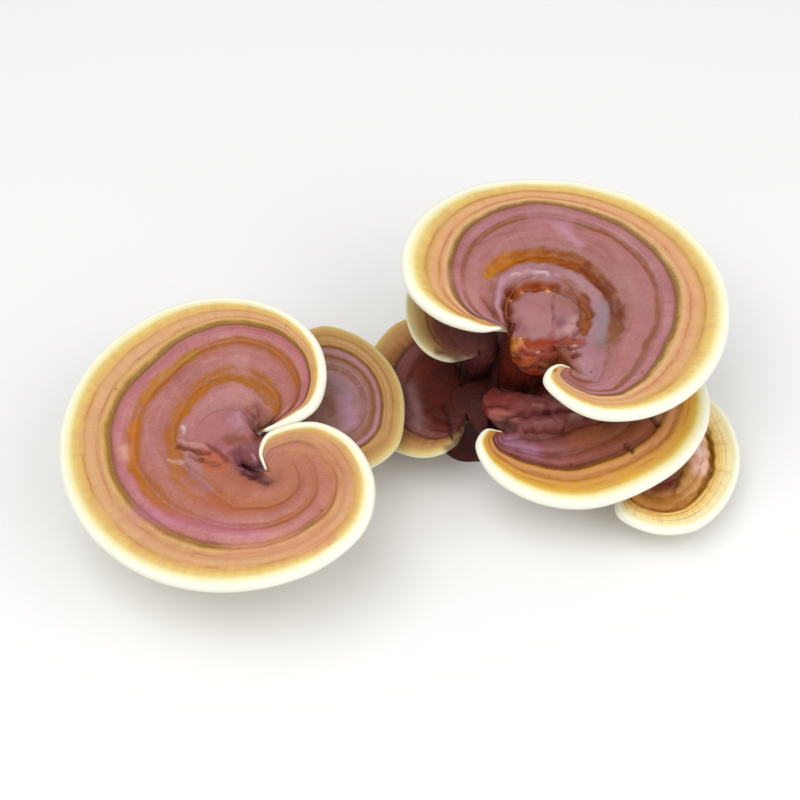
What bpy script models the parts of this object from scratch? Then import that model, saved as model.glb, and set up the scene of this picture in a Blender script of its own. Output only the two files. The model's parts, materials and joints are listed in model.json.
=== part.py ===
"""A clump of reishi: seven kidney-shaped caps, each on its own dark stem, on one common foot.

Lengths in the tables are millimetres. A cap is drawn in its own tilted plane: the rim is a smooth
curve through a few points, and the inner edge is an arc that hugs the knob of the stem.
"""
import bmesh
import bpy
import numpy as np
from mathutils import Matrix

MM = 0.001
CLEARANCE = 0.35      # between a stem and the foot it rises from
SEAT_CLEARANCE = 0.45     # between the knob of a stem and the edge of its cap
CURVE_SAMPLES = 1500
CAP_WIDTH_FULL = 24.0     # a lobe narrower than this is also flatter
INNER_RISE = 3.0      # height of a cap beside its stem, above the plane that it is drawn in

# Ridges and furrows across a cap as (ring number, height): ring 0 is at the stem, 0.25 and 0.50 are
# the two orange furrows, 0.70 is the edge of the dark crust and 1 is where the lip begins.
WIDE_RINGS = [(0, 0), (0.11, 1.6), (0.25, 0.1), (0.38, 2.1), (0.50, 0.7), (0.60, 2.3), (0.695, 0.2),
              (0.745, 2.0), (0.84, 1.4), (0.92, 0.6), (1, 0)]
LESSER_RINGS = [(0, 0), (0.13, 1.4), (0.25, 0.2), (0.40, 2.0), (0.52, 0.6), (0.61, 1.9), (0.70, 0.2),
                (0.76, 1.6), (0.88, 0.8), (1, 0)]
RING_MARKS = [0, 0.25, 0.50, 0.70, 1]

# seat: where the cap plane crosses the stem. lean: rise of that plane per mm along X and along Y.
# arc: start and end angle of the inner edge round the knob. first, last: centres that a curled lobe
# turns about. hold: shares of the rim between which the inner edge moves on. lip: radius of the
# rounded margin. growth: rings lie further apart on the side that grew faster, so each row gives, at
# one share of the rim, how far out the rings 0.25, 0.50 and 0.70 lie between the stem and the lip.
CAPS = {
    "cap_left_large": dict(
        seat=(-98.4, -48.6, 47.5), lean=(0.08, 0.10), seat_radius=10, arc=(22, 285), first=None,
        last=(16.2, -13.4), hold=(0.10, 0.70), depth=9, wave=(1.5, 1.6, -2.0), rings=WIDE_RINGS,
        stations=38, lip=2.6, colour=(0.46, 0.19, 0.13),
        rim=[(14.2, 3), (19.5, 4.6), (26, 7.2), (31.5, 12), (34.6, 22), (32.2, 36.5), (21.5, 49),
             (3.6, 56.3), (-17.1, 54.9), (-36, 45.2), (-50.2, 30.1), (-58.2, 8), (-56, -15),
             (-45.3, -34), (-27.3, -48.2), (-6.3, -54.7), (18, -53.6), (36, -46.6), (49, -34),
             (51.8, -18), (44, -2), (32, 4.8), (21.5, 4.4), (13.8, 0.8), (11.6, -5.5), (13.8, -11.6)],
        growth=[(0, 0.39, 0.7, 0.88), (0.08, 0.39, 0.7, 0.88), (0.15, 0.37, 0.66, 0.84),
                (0.2, 0.35, 0.63, 0.795), (0.31, 0.23, 0.485, 0.68), (0.42, 0.17, 0.495, 0.67),
                (0.53, 0.195, 0.505, 0.68), (0.64, 0.35, 0.535, 0.705), (0.75, 0.32, 0.515, 0.68),
                (0.84, 0.27, 0.455, 0.66), (1, 0.24, 0.435, 0.62)]),
    "cap_left_back": dict(
        seat=(-65.1, -25.6, 32), lean=(-0.03, 0.05), seat_radius=8, arc=(140, -110), first=None,
        last=None, hold=(0.05, 0.95), depth=8, wave=(0.8, 1.5, 1.0), rings=LESSER_RINGS,
        stations=26, lip=2.0, colour=(0.36, 0.17, 0.14),
        rim=[(-11.5, 7.6), (-17, 18), (-12, 28), (-2, 34.2), (10, 31.4), (20.8, 22.6), (27.2, 10.6),
             (28.6, -4), (26, -16), (17.1, -24.2), (5, -27), (-3.5, -22), (-4.5, -12)],
        growth=[(0, 0.32, 0.48, 0.68), (0.5, 0.33, 0.51, 0.66), (1, 0.33, 0.51, 0.68)]),
    "cap_middle": dict(
        seat=(-12, -19, 27), lean=(0.25, 0.05), seat_radius=7, arc=(252, 122), first=None,
        last=None, hold=(0.06, 0.93), depth=7, wave=(0.8, 1.5, 0.0), rings=LESSER_RINGS,
        stations=26, lip=1.8, colour=(0.14, 0.04, 0.03),
        rim=[(-3.2, -12.5), (-6, -17.5), (-11, -20.6), (-18, -21.6), (-28.5, -17.5), (-40, -4),
             (-42, 14), (-36, 29), (-27, 37), (-17, 37.5), (-8, 29.5), (-3.2, 13.5)],
        growth=[(0, 0.28, 0.47, 0.69), (0.5, 0.28, 0.5, 0.69), (1, 0.28, 0.5, 0.69)]),
    "cap_upper_small": dict(
        seat=(-9, -6, 48), lean=(0.15, 0), seat_radius=6, arc=(262, 60), first=None,
        last=None, hold=(0.04, 0.95), depth=6, wave=(0.6, 1.5, 0.5), rings=LESSER_RINGS,
        stations=26, lip=1.4, colour=(0.33, 0.18, 0.09),
        rim=[(-3.4, -8.3), (-11.5, -9.3), (-18.5, -6), (-24.5, 2), (-27.4, 13.5), (-26.5, 24),
             (-19, 33), (-9, 34), (-1.5, 27), (4.5, 12)],
        growth=[(0, 0.28, 0.47, 0.65), (1, 0.28, 0.47, 0.65)]),
    "cap_top_large": dict(
        seat=(11.4, -11.7, 72), lean=(-0.05, 0.12), seat_radius=13, arc=(205, -78), first=None,
        last=(10.8, -22.6), hold=(0.07, 0.83), depth=10, wave=(1.3, 2.0, 2.2), rings=WIDE_RINGS,
        stations=38, lip=2.6, colour=(0.40, 0.17, 0.14),
        rim=[(-15.6, -7.2), (-20.5, -8.2), (-26.5, -7.6), (-36, -4), (-46.5, 6.5), (-49.3, 21),
             (-42.5, 37.5), (-25, 49.8), (-4, 53.2), (18, 51.4), (38, 44.4), (54, 32.4), (64, 15.5),
             (65.2, -1.5), (60, -17.5), (48, -31.5), (32, -39.5), (16, -40), (5, -34),
             (-0.8, -26.5), (1.6, -21.4), (5.4, -19.8), (8.4, -20.6)],
        growth=[(0, 0.175, 0.39, 0.485), (0.07, 0.155, 0.405, 0.515), (0.16, 0.145, 0.445, 0.56),
                (0.25, 0.195, 0.54, 0.68), (0.35, 0.25, 0.64, 0.775), (0.49, 0.27, 0.61, 0.73),
                (0.62, 0.29, 0.58, 0.7), (0.72, 0.31, 0.57, 0.68), (0.84, 0.29, 0.54, 0.64),
                (0.93, 0.27, 0.5, 0.6), (1, 0.24, 0.485, 0.58)]),
    "cap_lower_right": dict(
        seat=(5.8, -29.3, 38), lean=(-0.05, 0.10), seat_radius=8, arc=(255, 395),
        first=(-6.4, -11.4), last=(12, 14.5), hold=(0.12, 0.86), depth=8, wave=(1.0, 2.0, 1.4),
        rings=LESSER_RINGS, stations=32, lip=2.6, colour=(0.30, 0.10, 0.07),
        rim=[(-8.2, -9.4), (-13.4, -8.9), (-17.2, -14.5), (-12.9, -25.7), (1.3, -35.2),
             (21.1, -38.1), (41.4, -31.5), (57.7, -19.5), (66.3, -4), (66.5, 11.2), (58, 26),
             (46, 35), (32, 35), (21, 27)],
        growth=[(0, 0.145, 0.33, 0.485), (0.12, 0.195, 0.37, 0.52), (0.25, 0.21, 0.405, 0.58),
                (0.42, 0.24, 0.465, 0.66), (0.55, 0.29, 0.56, 0.735), (0.7, 0.29, 0.58, 0.775),
                (1, 0.29, 0.58, 0.775)]),
    "cap_small_right": dict(
        seat=(54.5, -39.4, 17), lean=(-0.05, 0.05), seat_radius=6, arc=(222, 460), first=None,
        last=None, hold=(0.10, 0.90), depth=6, wave=(0.8, 1.5, 0.0), rings=LESSER_RINGS,
        stations=26, lip=2.2, colour=(0.30, 0.12, 0.06),
        rim=[(-8.6, -6.6), (-14.2, -12.6), (-15.4, -21.5), (-4.3, -28.5), (12.3, -27.3),
             (26.3, -13.8), (31.6, 5), (25.5, 23), (13, 31), (2, 27), (-6, 13)],
        growth=[(0, 0.19, 0.43, 0.71), (0.25, 0.19, 0.43, 0.74), (0.5, 0.17, 0.4, 0.61),
                (1, 0.17, 0.4, 0.61)]),
}

# Each stem: the way up from inside the foot as (x, y, z, radius), how far its knob stands above the
# seat, how much the knob is domed, and its swelling into the open notch of the cap, as
# (start angle, end angle, extra radius).
STEMS = {
    "stem_left_large": dict(
        cap="cap_left_large", stand=2.6, dome=0.6, swell=(-80, 10, 3.4),
        way=[(-82, -40, 5, 10), (-84, -41, 16, 9.5), (-91, -44.5, 26, 8.8)]),
    "stem_left_back": dict(
        cap="cap_left_back", stand=2.4, dome=1.2, swell=(150, 240, 2.0),
        way=[(-62, -26, 4, 8), (-63, -26, 12, 7.4)]),
    "stem_middle": dict(
        cap="cap_middle", stand=2.2, dome=0.6, swell=(-106, -40, 5.0),
        way=[(-12.5, -16, 4, 8.4), (-11.5, -18.5, 11, 7.2)]),
    "stem_upper_small": dict(
        cap="cap_upper_small", stand=2.4, dome=1.2, swell=(-70, 50, 0.6),
        way=[(-10, 1, 6, 5.4), (-9.8, -1, 18, 5.2), (-9.2, -4, 30, 5)]),
    "stem_top_large": dict(
        cap="cap_top_large", stand=3.2, dome=3.4, swell=(-150, -84, 4.5),
        way=[(7.5, -6, 6, 10), (7, -9, 24, 9.4), (7.2, -11, 42, 9.4)]),
    "stem_lower_right": dict(
        cap="cap_lower_right", stand=2.6, dome=0.5, swell=(80, 215, 6.5),
        way=[(8, -20, 5, 7.4), (6.5, -25.5, 14, 7.2)]),
    "stem_small_right": dict(
        cap="cap_small_right", stand=2.2, dome=1.2, swell=(110, 210, 1.5),
        way=[(24, -16, 6, 5.6), (33, -24, 8.5, 5), (43.5, -33, 8, 5)]),
}
STEM_SIDES = 16
LOWER_RINGS = 6       # rings of a stem below its cap
SWELL_DROP = 0.8      # the swelling slopes down this much per mm that it reaches out
STEM_COLOUR = (0.07, 0.018, 0.012)

# The foot as a row of half-round sections: x, centre y, half width, height.
FOOT = [(-99, -37, 4, 3), (-95, -37, 12, 9), (-84, -34, 20, 15), (-72, -29, 19, 14), (-58, -20, 16, 11),
        (-44, -12, 12, 9), (-30, -5, 14, 10), (-16, -3, 26, 17), (-3, 1, 30, 21), (8, 1, 31, 23),
        (20, -1, 28, 20), (31, -5, 20, 13), (39, -8, 10, 7), (42, -9, 4, 3)]
FOOT_STATIONS = 26
FOOT_ARC_POINTS = 11
FOOT_COLOUR = (0.10, 0.045, 0.025)


def place_along(curve, shares):
    """Points on a polyline at the given shares of its length."""
    steps = np.linalg.norm(np.diff(curve, axis=0), axis=1)
    run = np.concatenate([[0], np.cumsum(steps)])
    columns = [np.interp(shares * run[-1], run, column) for column in curve.T]
    return np.stack(columns, axis=1)


def smooth_through(points, count):
    """Smooth curve through the points, as evenly spaced points along its length."""
    knots = np.array(points, float)
    chords = np.linalg.norm(np.diff(knots, axis=0), axis=1) ** 0.75
    times = np.concatenate([[0], np.cumsum(chords)])
    slopes = np.gradient(knots, times, axis=0)
    fine = np.linspace(0, times[-1], CURVE_SAMPLES)
    piece = np.clip(np.searchsorted(times, fine, side="right") - 1, 0, len(times) - 2)
    span = (times[piece + 1] - times[piece])[:, None]
    u = (fine - times[piece])[:, None] / span
    curve = (2 * u ** 3 - 3 * u ** 2 + 1) * knots[piece]
    curve += (u ** 3 - 2 * u ** 2 + u) * span * slopes[piece]
    curve += (3 * u ** 2 - 2 * u ** 3) * knots[piece + 1]
    curve += (u ** 3 - u ** 2) * span * slopes[piece + 1]
    return place_along(curve, np.linspace(0, 1, count))


def plane_axes(lean):
    """The two directions in a leaning cap plane and the one that stands on it."""
    up = np.array([-lean[0], -lean[1], 1.0])
    up /= np.linalg.norm(up)
    across = np.array([1.0, 0.0, lean[0]])
    across /= np.linalg.norm(across)
    return across, np.cross(up, across), up


def inner_edge(cap, shares):
    """The edge that faces the stem: an arc round the knob, run on to the centre of a curled lobe."""
    angles = np.radians(np.linspace(cap["arc"][0], cap["arc"][1], 60))
    path = cap["seat_radius"] * np.stack([np.cos(angles), np.sin(angles)], axis=1)
    if cap["first"]:
        path = np.concatenate([[cap["first"]], path])
    if cap["last"]:
        path = np.concatenate([path, [cap["last"]]])
    start, end = cap["hold"]
    return place_along(path, np.clip((shares - start) / (end - start), 0, 1))


def cap_plan(cap):
    """Rim, inner edge, the shoulder where the lip begins, width and radius of the lip, in plan."""
    shares = np.linspace(0, 1, cap["stations"])
    fine_rim = smooth_through(cap["rim"], CURVE_SAMPLES)
    rim = place_along(fine_rim, shares)
    inner = inner_edge(cap, shares)
    tangents = np.gradient(fine_rim, axis=0)
    tangents /= np.linalg.norm(tangents, axis=1)[:, None]
    fine_shares = np.linspace(0, 1, CURVE_SAMPLES)
    along = np.stack([np.interp(shares, fine_shares, column) for column in tangents.T], axis=1)
    inward = np.stack([along[:, 1], -along[:, 0]], axis=1)
    inward *= np.sign(np.sum(inward * (inner - rim)))
    width = np.linalg.norm(rim - inner, axis=1)
    lip = np.minimum(cap["lip"], 0.14 * width + 0.3)
    return shares, rim, inner, rim + inward * lip[:, None], width, lip


def ring_places(cap, shares, ring):
    """How far out one ring lies at every station, between the marked rings on its two sides."""
    table = np.array(cap["growth"])
    marks = [np.interp(shares, table[:, 0], table[:, column]) for column in (1, 2, 3)]
    marks = np.stack([np.zeros_like(shares)] + marks + [np.ones_like(shares)])
    below = min(np.searchsorted(RING_MARKS, ring, side="right") - 1, len(RING_MARKS) - 2)
    part = (ring - RING_MARKS[below]) / (RING_MARKS[below + 1] - RING_MARKS[below])
    return marks[below] + (marks[below + 1] - marks[below]) * part


def cap_sections(cap):
    """Closed section round every station of a cap: top with its rings, lip, underside."""
    shares, rim, inner, shoulder, width, lip = cap_plan(cap)
    start, end = cap["hold"]
    moved = np.clip((shares - start) / (end - start), 0, 1)
    fullness = np.clip(width / CAP_WIDTH_FULL, 0, 1)
    body = 0.45 + 0.55 * np.sin(np.pi * np.clip(moved, 0, 1)) ** 0.5
    amplitude, turns, phase = cap["wave"]
    wave = amplitude * np.sin(2 * np.pi * turns * shares + phase) * fullness
    rows = []
    for ring, height in cap["rings"]:
        out = ring_places(cap, shares, ring)
        plan = inner + (shoulder - inner) * out[:, None]
        level = out * lip + (1 - out) * INNER_RISE * body + height * fullness * out ** 0.3
        rows.append((plan, level + wave * out ** 2))
    for angle in np.radians([40, 0, -40]):
        plan = shoulder + (rim - shoulder) * np.cos(angle)
        rows.append((plan, lip * np.sin(angle) + wave))
    for out in (1.0, 0.55, 0.0):
        plan = inner + (shoulder - inner) * out
        level = -out * lip - (1 - out) * cap["depth"] * body
        rows.append((plan, level + wave * out ** 2))
    columns = [np.column_stack([plan, level]) for plan, level in rows]
    return np.stack(columns, axis=1)


def seat_placement(cap):
    """Where a cap sits: its leaning plane, with the origin on the axis of its stem."""
    placement = np.identity(4)
    placement[:3, :3] = np.stack(plane_axes(cap["lean"]), axis=1)
    placement[:3, 3] = np.array(cap["seat"]) * MM
    return Matrix(placement.tolist())


def swelling(circle, across, away, window):
    """How far each point of a ring reaches into the open notch, rising and falling smoothly."""
    start, end, extra = window
    angle = np.degrees(np.arctan2(circle @ away, circle @ across))
    share = ((angle - start) % 360) / (end - start)
    return extra * np.where(share < 1, np.sin(np.pi * share) ** 2, 0)


def stem_rings(stem):
    """Rings up one stem: smooth from the foot, straight through its cap, domed at the top."""
    cap = CAPS[stem["cap"]]
    across, away, up = plane_axes(cap["lean"])
    seat = np.array(cap["seat"], float)
    radius = cap["seat_radius"] - SEAT_CLEARANCE
    below = seat - up * (cap["depth"] + 1.0)
    way = list(stem["way"]) + [(*below, radius)]
    lower = smooth_through(way, LOWER_RINGS)
    centres = list(lower[:, :3])
    radii = list(lower[:, 3])
    for rise, share in ((0, 1), (0.5, 0.8), (0.9, 0.45)):
        centres.append(seat + up * (stem["stand"] + stem["dome"] * rise))
        radii.append(radius * share)
    centres = np.array(centres)
    tangents = np.gradient(centres, axis=0)
    tangents[LOWER_RINGS - 1:] = up
    tangents /= np.linalg.norm(tangents, axis=1)[:, None]
    turn = np.linspace(0, 2 * np.pi, STEM_SIDES, endpoint=False)
    side = np.array([0.3, 0.9, 0.1])
    rings = []
    for level, (centre, tangent, size) in enumerate(zip(centres, tangents, radii)):
        side = side - tangent * side.dot(tangent)
        side /= np.linalg.norm(side)
        other = np.cross(tangent, side)
        circle = np.cos(turn)[:, None] * side + np.sin(turn)[:, None] * other
        reach = swelling(circle, across, away, stem["swell"]) * size / radius
        reach *= level >= LOWER_RINGS - 1
        drop = reach * SWELL_DROP * (level >= LOWER_RINGS)
        rings.append(centre + circle * (size + reach)[:, None] - up * drop[:, None])
    return np.stack(rings), seat + up * (stem["stand"] + stem["dome"])


def foot_sections(grow):
    """Half-round sections along the foot, flat below; grow makes the larger body used for cutting."""
    row = smooth_through(FOOT, FOOT_STATIONS)
    arc = np.linspace(0, np.pi, FOOT_ARC_POINTS)
    sections = []
    for x, y, half_width, height in row:
        section = np.zeros((FOOT_ARC_POINTS, 3))
        section[:, 0] = x
        section[:, 1] = y + (half_width + grow) * np.cos(arc)
        section[:, 2] = (height + grow) * np.sin(arc)
        sections.append(section)
    sections = np.stack(sections)
    if grow:
        sections[0, :, 0] -= grow
        sections[-1, :, 0] += grow
        sections[:, 0, 2] = -grow
        sections[:, -1, 2] = -grow
    return sections


def clear_scene():
    """Take every object out of the scene."""
    for thing in list(bpy.data.objects):
        bpy.data.objects.remove(thing)


def skin(name, colour, roughness):
    """A plain material for one piece."""
    material = bpy.data.materials.new(name)
    material.use_nodes = True
    shader = material.node_tree.nodes["Principled BSDF"]
    shader.inputs["Base Color"].default_value = (*colour, 1)
    shader.inputs["Roughness"].default_value = roughness
    shader.inputs["Metallic"].default_value = 0
    material.diffuse_color = (*colour, 1)
    return material


def wrapped_body(name, sections, start_point, end_point, material):
    """Closed body over a row of closed sections; each end is closed to a point or left flat."""
    count, around = sections.shape[:2]
    body = bmesh.new()
    grid = [[body.verts.new(point * MM) for point in section] for section in sections]
    for i in range(count - 1):
        for j in range(around):
            k = (j + 1) % around
            body.faces.new((grid[i][j], grid[i][k], grid[i + 1][k], grid[i + 1][j]))
    for row, tip in ((grid[0], start_point), (grid[-1], end_point)):
        if tip is None:
            body.faces.new(row)
            continue
        point = body.verts.new(np.array(tip) * MM)
        for j in range(around):
            body.faces.new((row[j], row[(j + 1) % around], point))
    bmesh.ops.remove_doubles(body, verts=body.verts, dist=0.00002)
    bmesh.ops.triangulate(body, faces=body.faces)
    bmesh.ops.recalc_face_normals(body, faces=body.faces)
    for face in body.faces:
        face.smooth = abs(face.normal.z) < 0.999
    mesh = bpy.data.meshes.new(name)
    body.to_mesh(mesh)
    body.free()
    mesh.materials.append(material)
    thing = bpy.data.objects.new(name, mesh)
    bpy.context.scene.collection.objects.link(thing)
    return thing


def lobe_tip(section, neighbour):
    """A point just beyond an end section, so that the lobe ends rounded."""
    middle = section.mean(axis=0)
    beyond = middle - neighbour.mean(axis=0)
    return middle + beyond / np.linalg.norm(beyond) * 0.8


def build():
    clear_scene()
    for name, cap in CAPS.items():
        sections = cap_sections(cap)
        start = lobe_tip(sections[0], sections[1])
        end = lobe_tip(sections[-1], sections[-2])
        thing = wrapped_body(name, sections, start, end, skin(name, cap["colour"], 0.38))
        thing.matrix_world = seat_placement(cap)

    wrapped_body("foot", foot_sections(0), None, None, skin("foot", FOOT_COLOUR, 0.75))
    cutter = wrapped_body("foot_room", foot_sections(CLEARANCE), None, None,
                          skin("foot_room", FOOT_COLOUR, 0.75))
    cutter.hide_render = True
    cutter.display_type = "WIRE"

    for name, stem in STEMS.items():
        rings, top = stem_rings(stem)
        body = wrapped_body(name, rings, None, top, skin(name, STEM_COLOUR, 0.40))
        cut = body.modifiers.new("foot_room", "BOOLEAN")
        cut.operation = "DIFFERENCE"
        cut.solver = "EXACT"
        cut.object = cutter


build()
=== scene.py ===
# %% [markdown]
# # A clump of reishi
#
# Reishi grows as woody brackets. Each cap spreads out sideways from its stem in growth rings, and
# where the two sides of a cap have grown back round the stem they curl into lobes. The youngest
# growth is the pale rounded lip; the older rings carry a lacquered crust, tan, then orange-brown
# and mauve. This file dresses seven packed caps, their stems and the foot.
#
# The packed solids fix every place and size. Each solid is stood in for here by a fine surface
# worked out with numpy from the same outlines.

# %% Load the packed clump
import bpy
import bmesh
import json
import numpy as np
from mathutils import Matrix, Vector

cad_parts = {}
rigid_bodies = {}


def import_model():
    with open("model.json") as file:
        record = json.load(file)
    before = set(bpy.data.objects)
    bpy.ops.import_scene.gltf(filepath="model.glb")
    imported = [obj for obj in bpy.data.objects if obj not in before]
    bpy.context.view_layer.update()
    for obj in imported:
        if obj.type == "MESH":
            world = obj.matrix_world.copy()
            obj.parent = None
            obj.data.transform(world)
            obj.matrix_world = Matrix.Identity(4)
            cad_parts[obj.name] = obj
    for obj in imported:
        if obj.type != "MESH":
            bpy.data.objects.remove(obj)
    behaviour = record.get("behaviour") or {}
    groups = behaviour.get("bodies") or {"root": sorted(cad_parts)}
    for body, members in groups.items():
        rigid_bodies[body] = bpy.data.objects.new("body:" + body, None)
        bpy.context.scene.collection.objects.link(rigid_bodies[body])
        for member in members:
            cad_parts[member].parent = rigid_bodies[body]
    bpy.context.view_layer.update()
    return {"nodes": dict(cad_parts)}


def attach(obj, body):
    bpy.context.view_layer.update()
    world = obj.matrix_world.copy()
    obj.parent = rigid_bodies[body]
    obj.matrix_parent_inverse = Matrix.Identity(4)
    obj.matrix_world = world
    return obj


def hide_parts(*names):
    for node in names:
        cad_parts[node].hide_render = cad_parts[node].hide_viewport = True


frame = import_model()
print("packed pieces:", sorted(frame["nodes"]))
MM = 0.001

# %% [markdown]
# ## Smooth curves through a few points
#
# A drawn outline is a handful of points. A cubic piece between each two neighbours, whose
# slope at a point follows the points on both sides, turns them into a smooth curve. The curve is
# then cut into equal lengths, so that the mesh on it is even.

# %% Curves
CURVE_SAMPLES = 3000


def place_along(curve, shares):
    """Points on a polyline: linear between its corners, at the given shares of its length."""
    steps = np.linalg.norm(np.diff(curve, axis=0), axis=1)
    run = np.concatenate([[0], np.cumsum(steps)])
    columns = [np.interp(shares * run[-1], run, column) for column in curve.T]
    return np.stack(columns, axis=1)


def smooth_through(points, count):
    """Cubic Hermite curve: each piece is a blend of its two end points and their slopes."""
    knots = np.array(points, float)
    chords = np.linalg.norm(np.diff(knots, axis=0), axis=1) ** 0.75
    times = np.concatenate([[0], np.cumsum(chords)])
    slopes = np.gradient(knots, times, axis=0)
    fine = np.linspace(0, times[-1], CURVE_SAMPLES)
    piece = np.clip(np.searchsorted(times, fine, side="right") - 1, 0, len(times) - 2)
    span = (times[piece + 1] - times[piece])[:, None]
    u = (fine - times[piece])[:, None] / span
    curve = (2 * u ** 3 - 3 * u ** 2 + 1) * knots[piece]
    curve += (u ** 3 - 2 * u ** 2 + u) * span * slopes[piece]
    curve += (3 * u ** 2 - 2 * u ** 3) * knots[piece + 1]
    curve += (u ** 3 - u ** 2) * span * slopes[piece + 1]
    return place_along(curve, np.linspace(0, 1, count))


def plane_axes(lean):
    """The two directions in a leaning plane and the one that stands on it."""
    up = np.array([-lean[0], -lean[1], 1.0])
    up /= np.linalg.norm(up)
    across = np.array([1.0, 0.0, lean[0]])
    across /= np.linalg.norm(across)
    return across, np.cross(up, across), up


def waves(seed, *places, count=7, finest=3.0):
    """Smooth unevenness: the mean of sine waves in random directions and phases."""
    random = np.random.default_rng(seed)
    total = 0
    for _ in range(count):
        turn = random.normal(size=len(places)) * random.uniform(0.4, finest)
        phase = random.uniform(0, 2 * np.pi)
        total = total + np.sin(sum(t * p for t, p in zip(turn, places)) + phase)
    return total / count ** 0.5


print("a curve is cut from", CURVE_SAMPLES, "fine points")

# %% [markdown]
# ## The caps as outlines
#
# A cap is drawn in its own leaning plane, in millimetres, seen from above. The rim is a smooth
# curve from one lobe tip to the other. The inner edge is an arc round the knob of the stem, and
# a lobe that curls like a shell turns about one fixed point at the end of that arc.
#
# Rings do not grow evenly: on the fast side of a cap they lie far apart. The table "growth" says,
# at some shares of the way round, how far out three of the rings lie.

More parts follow.
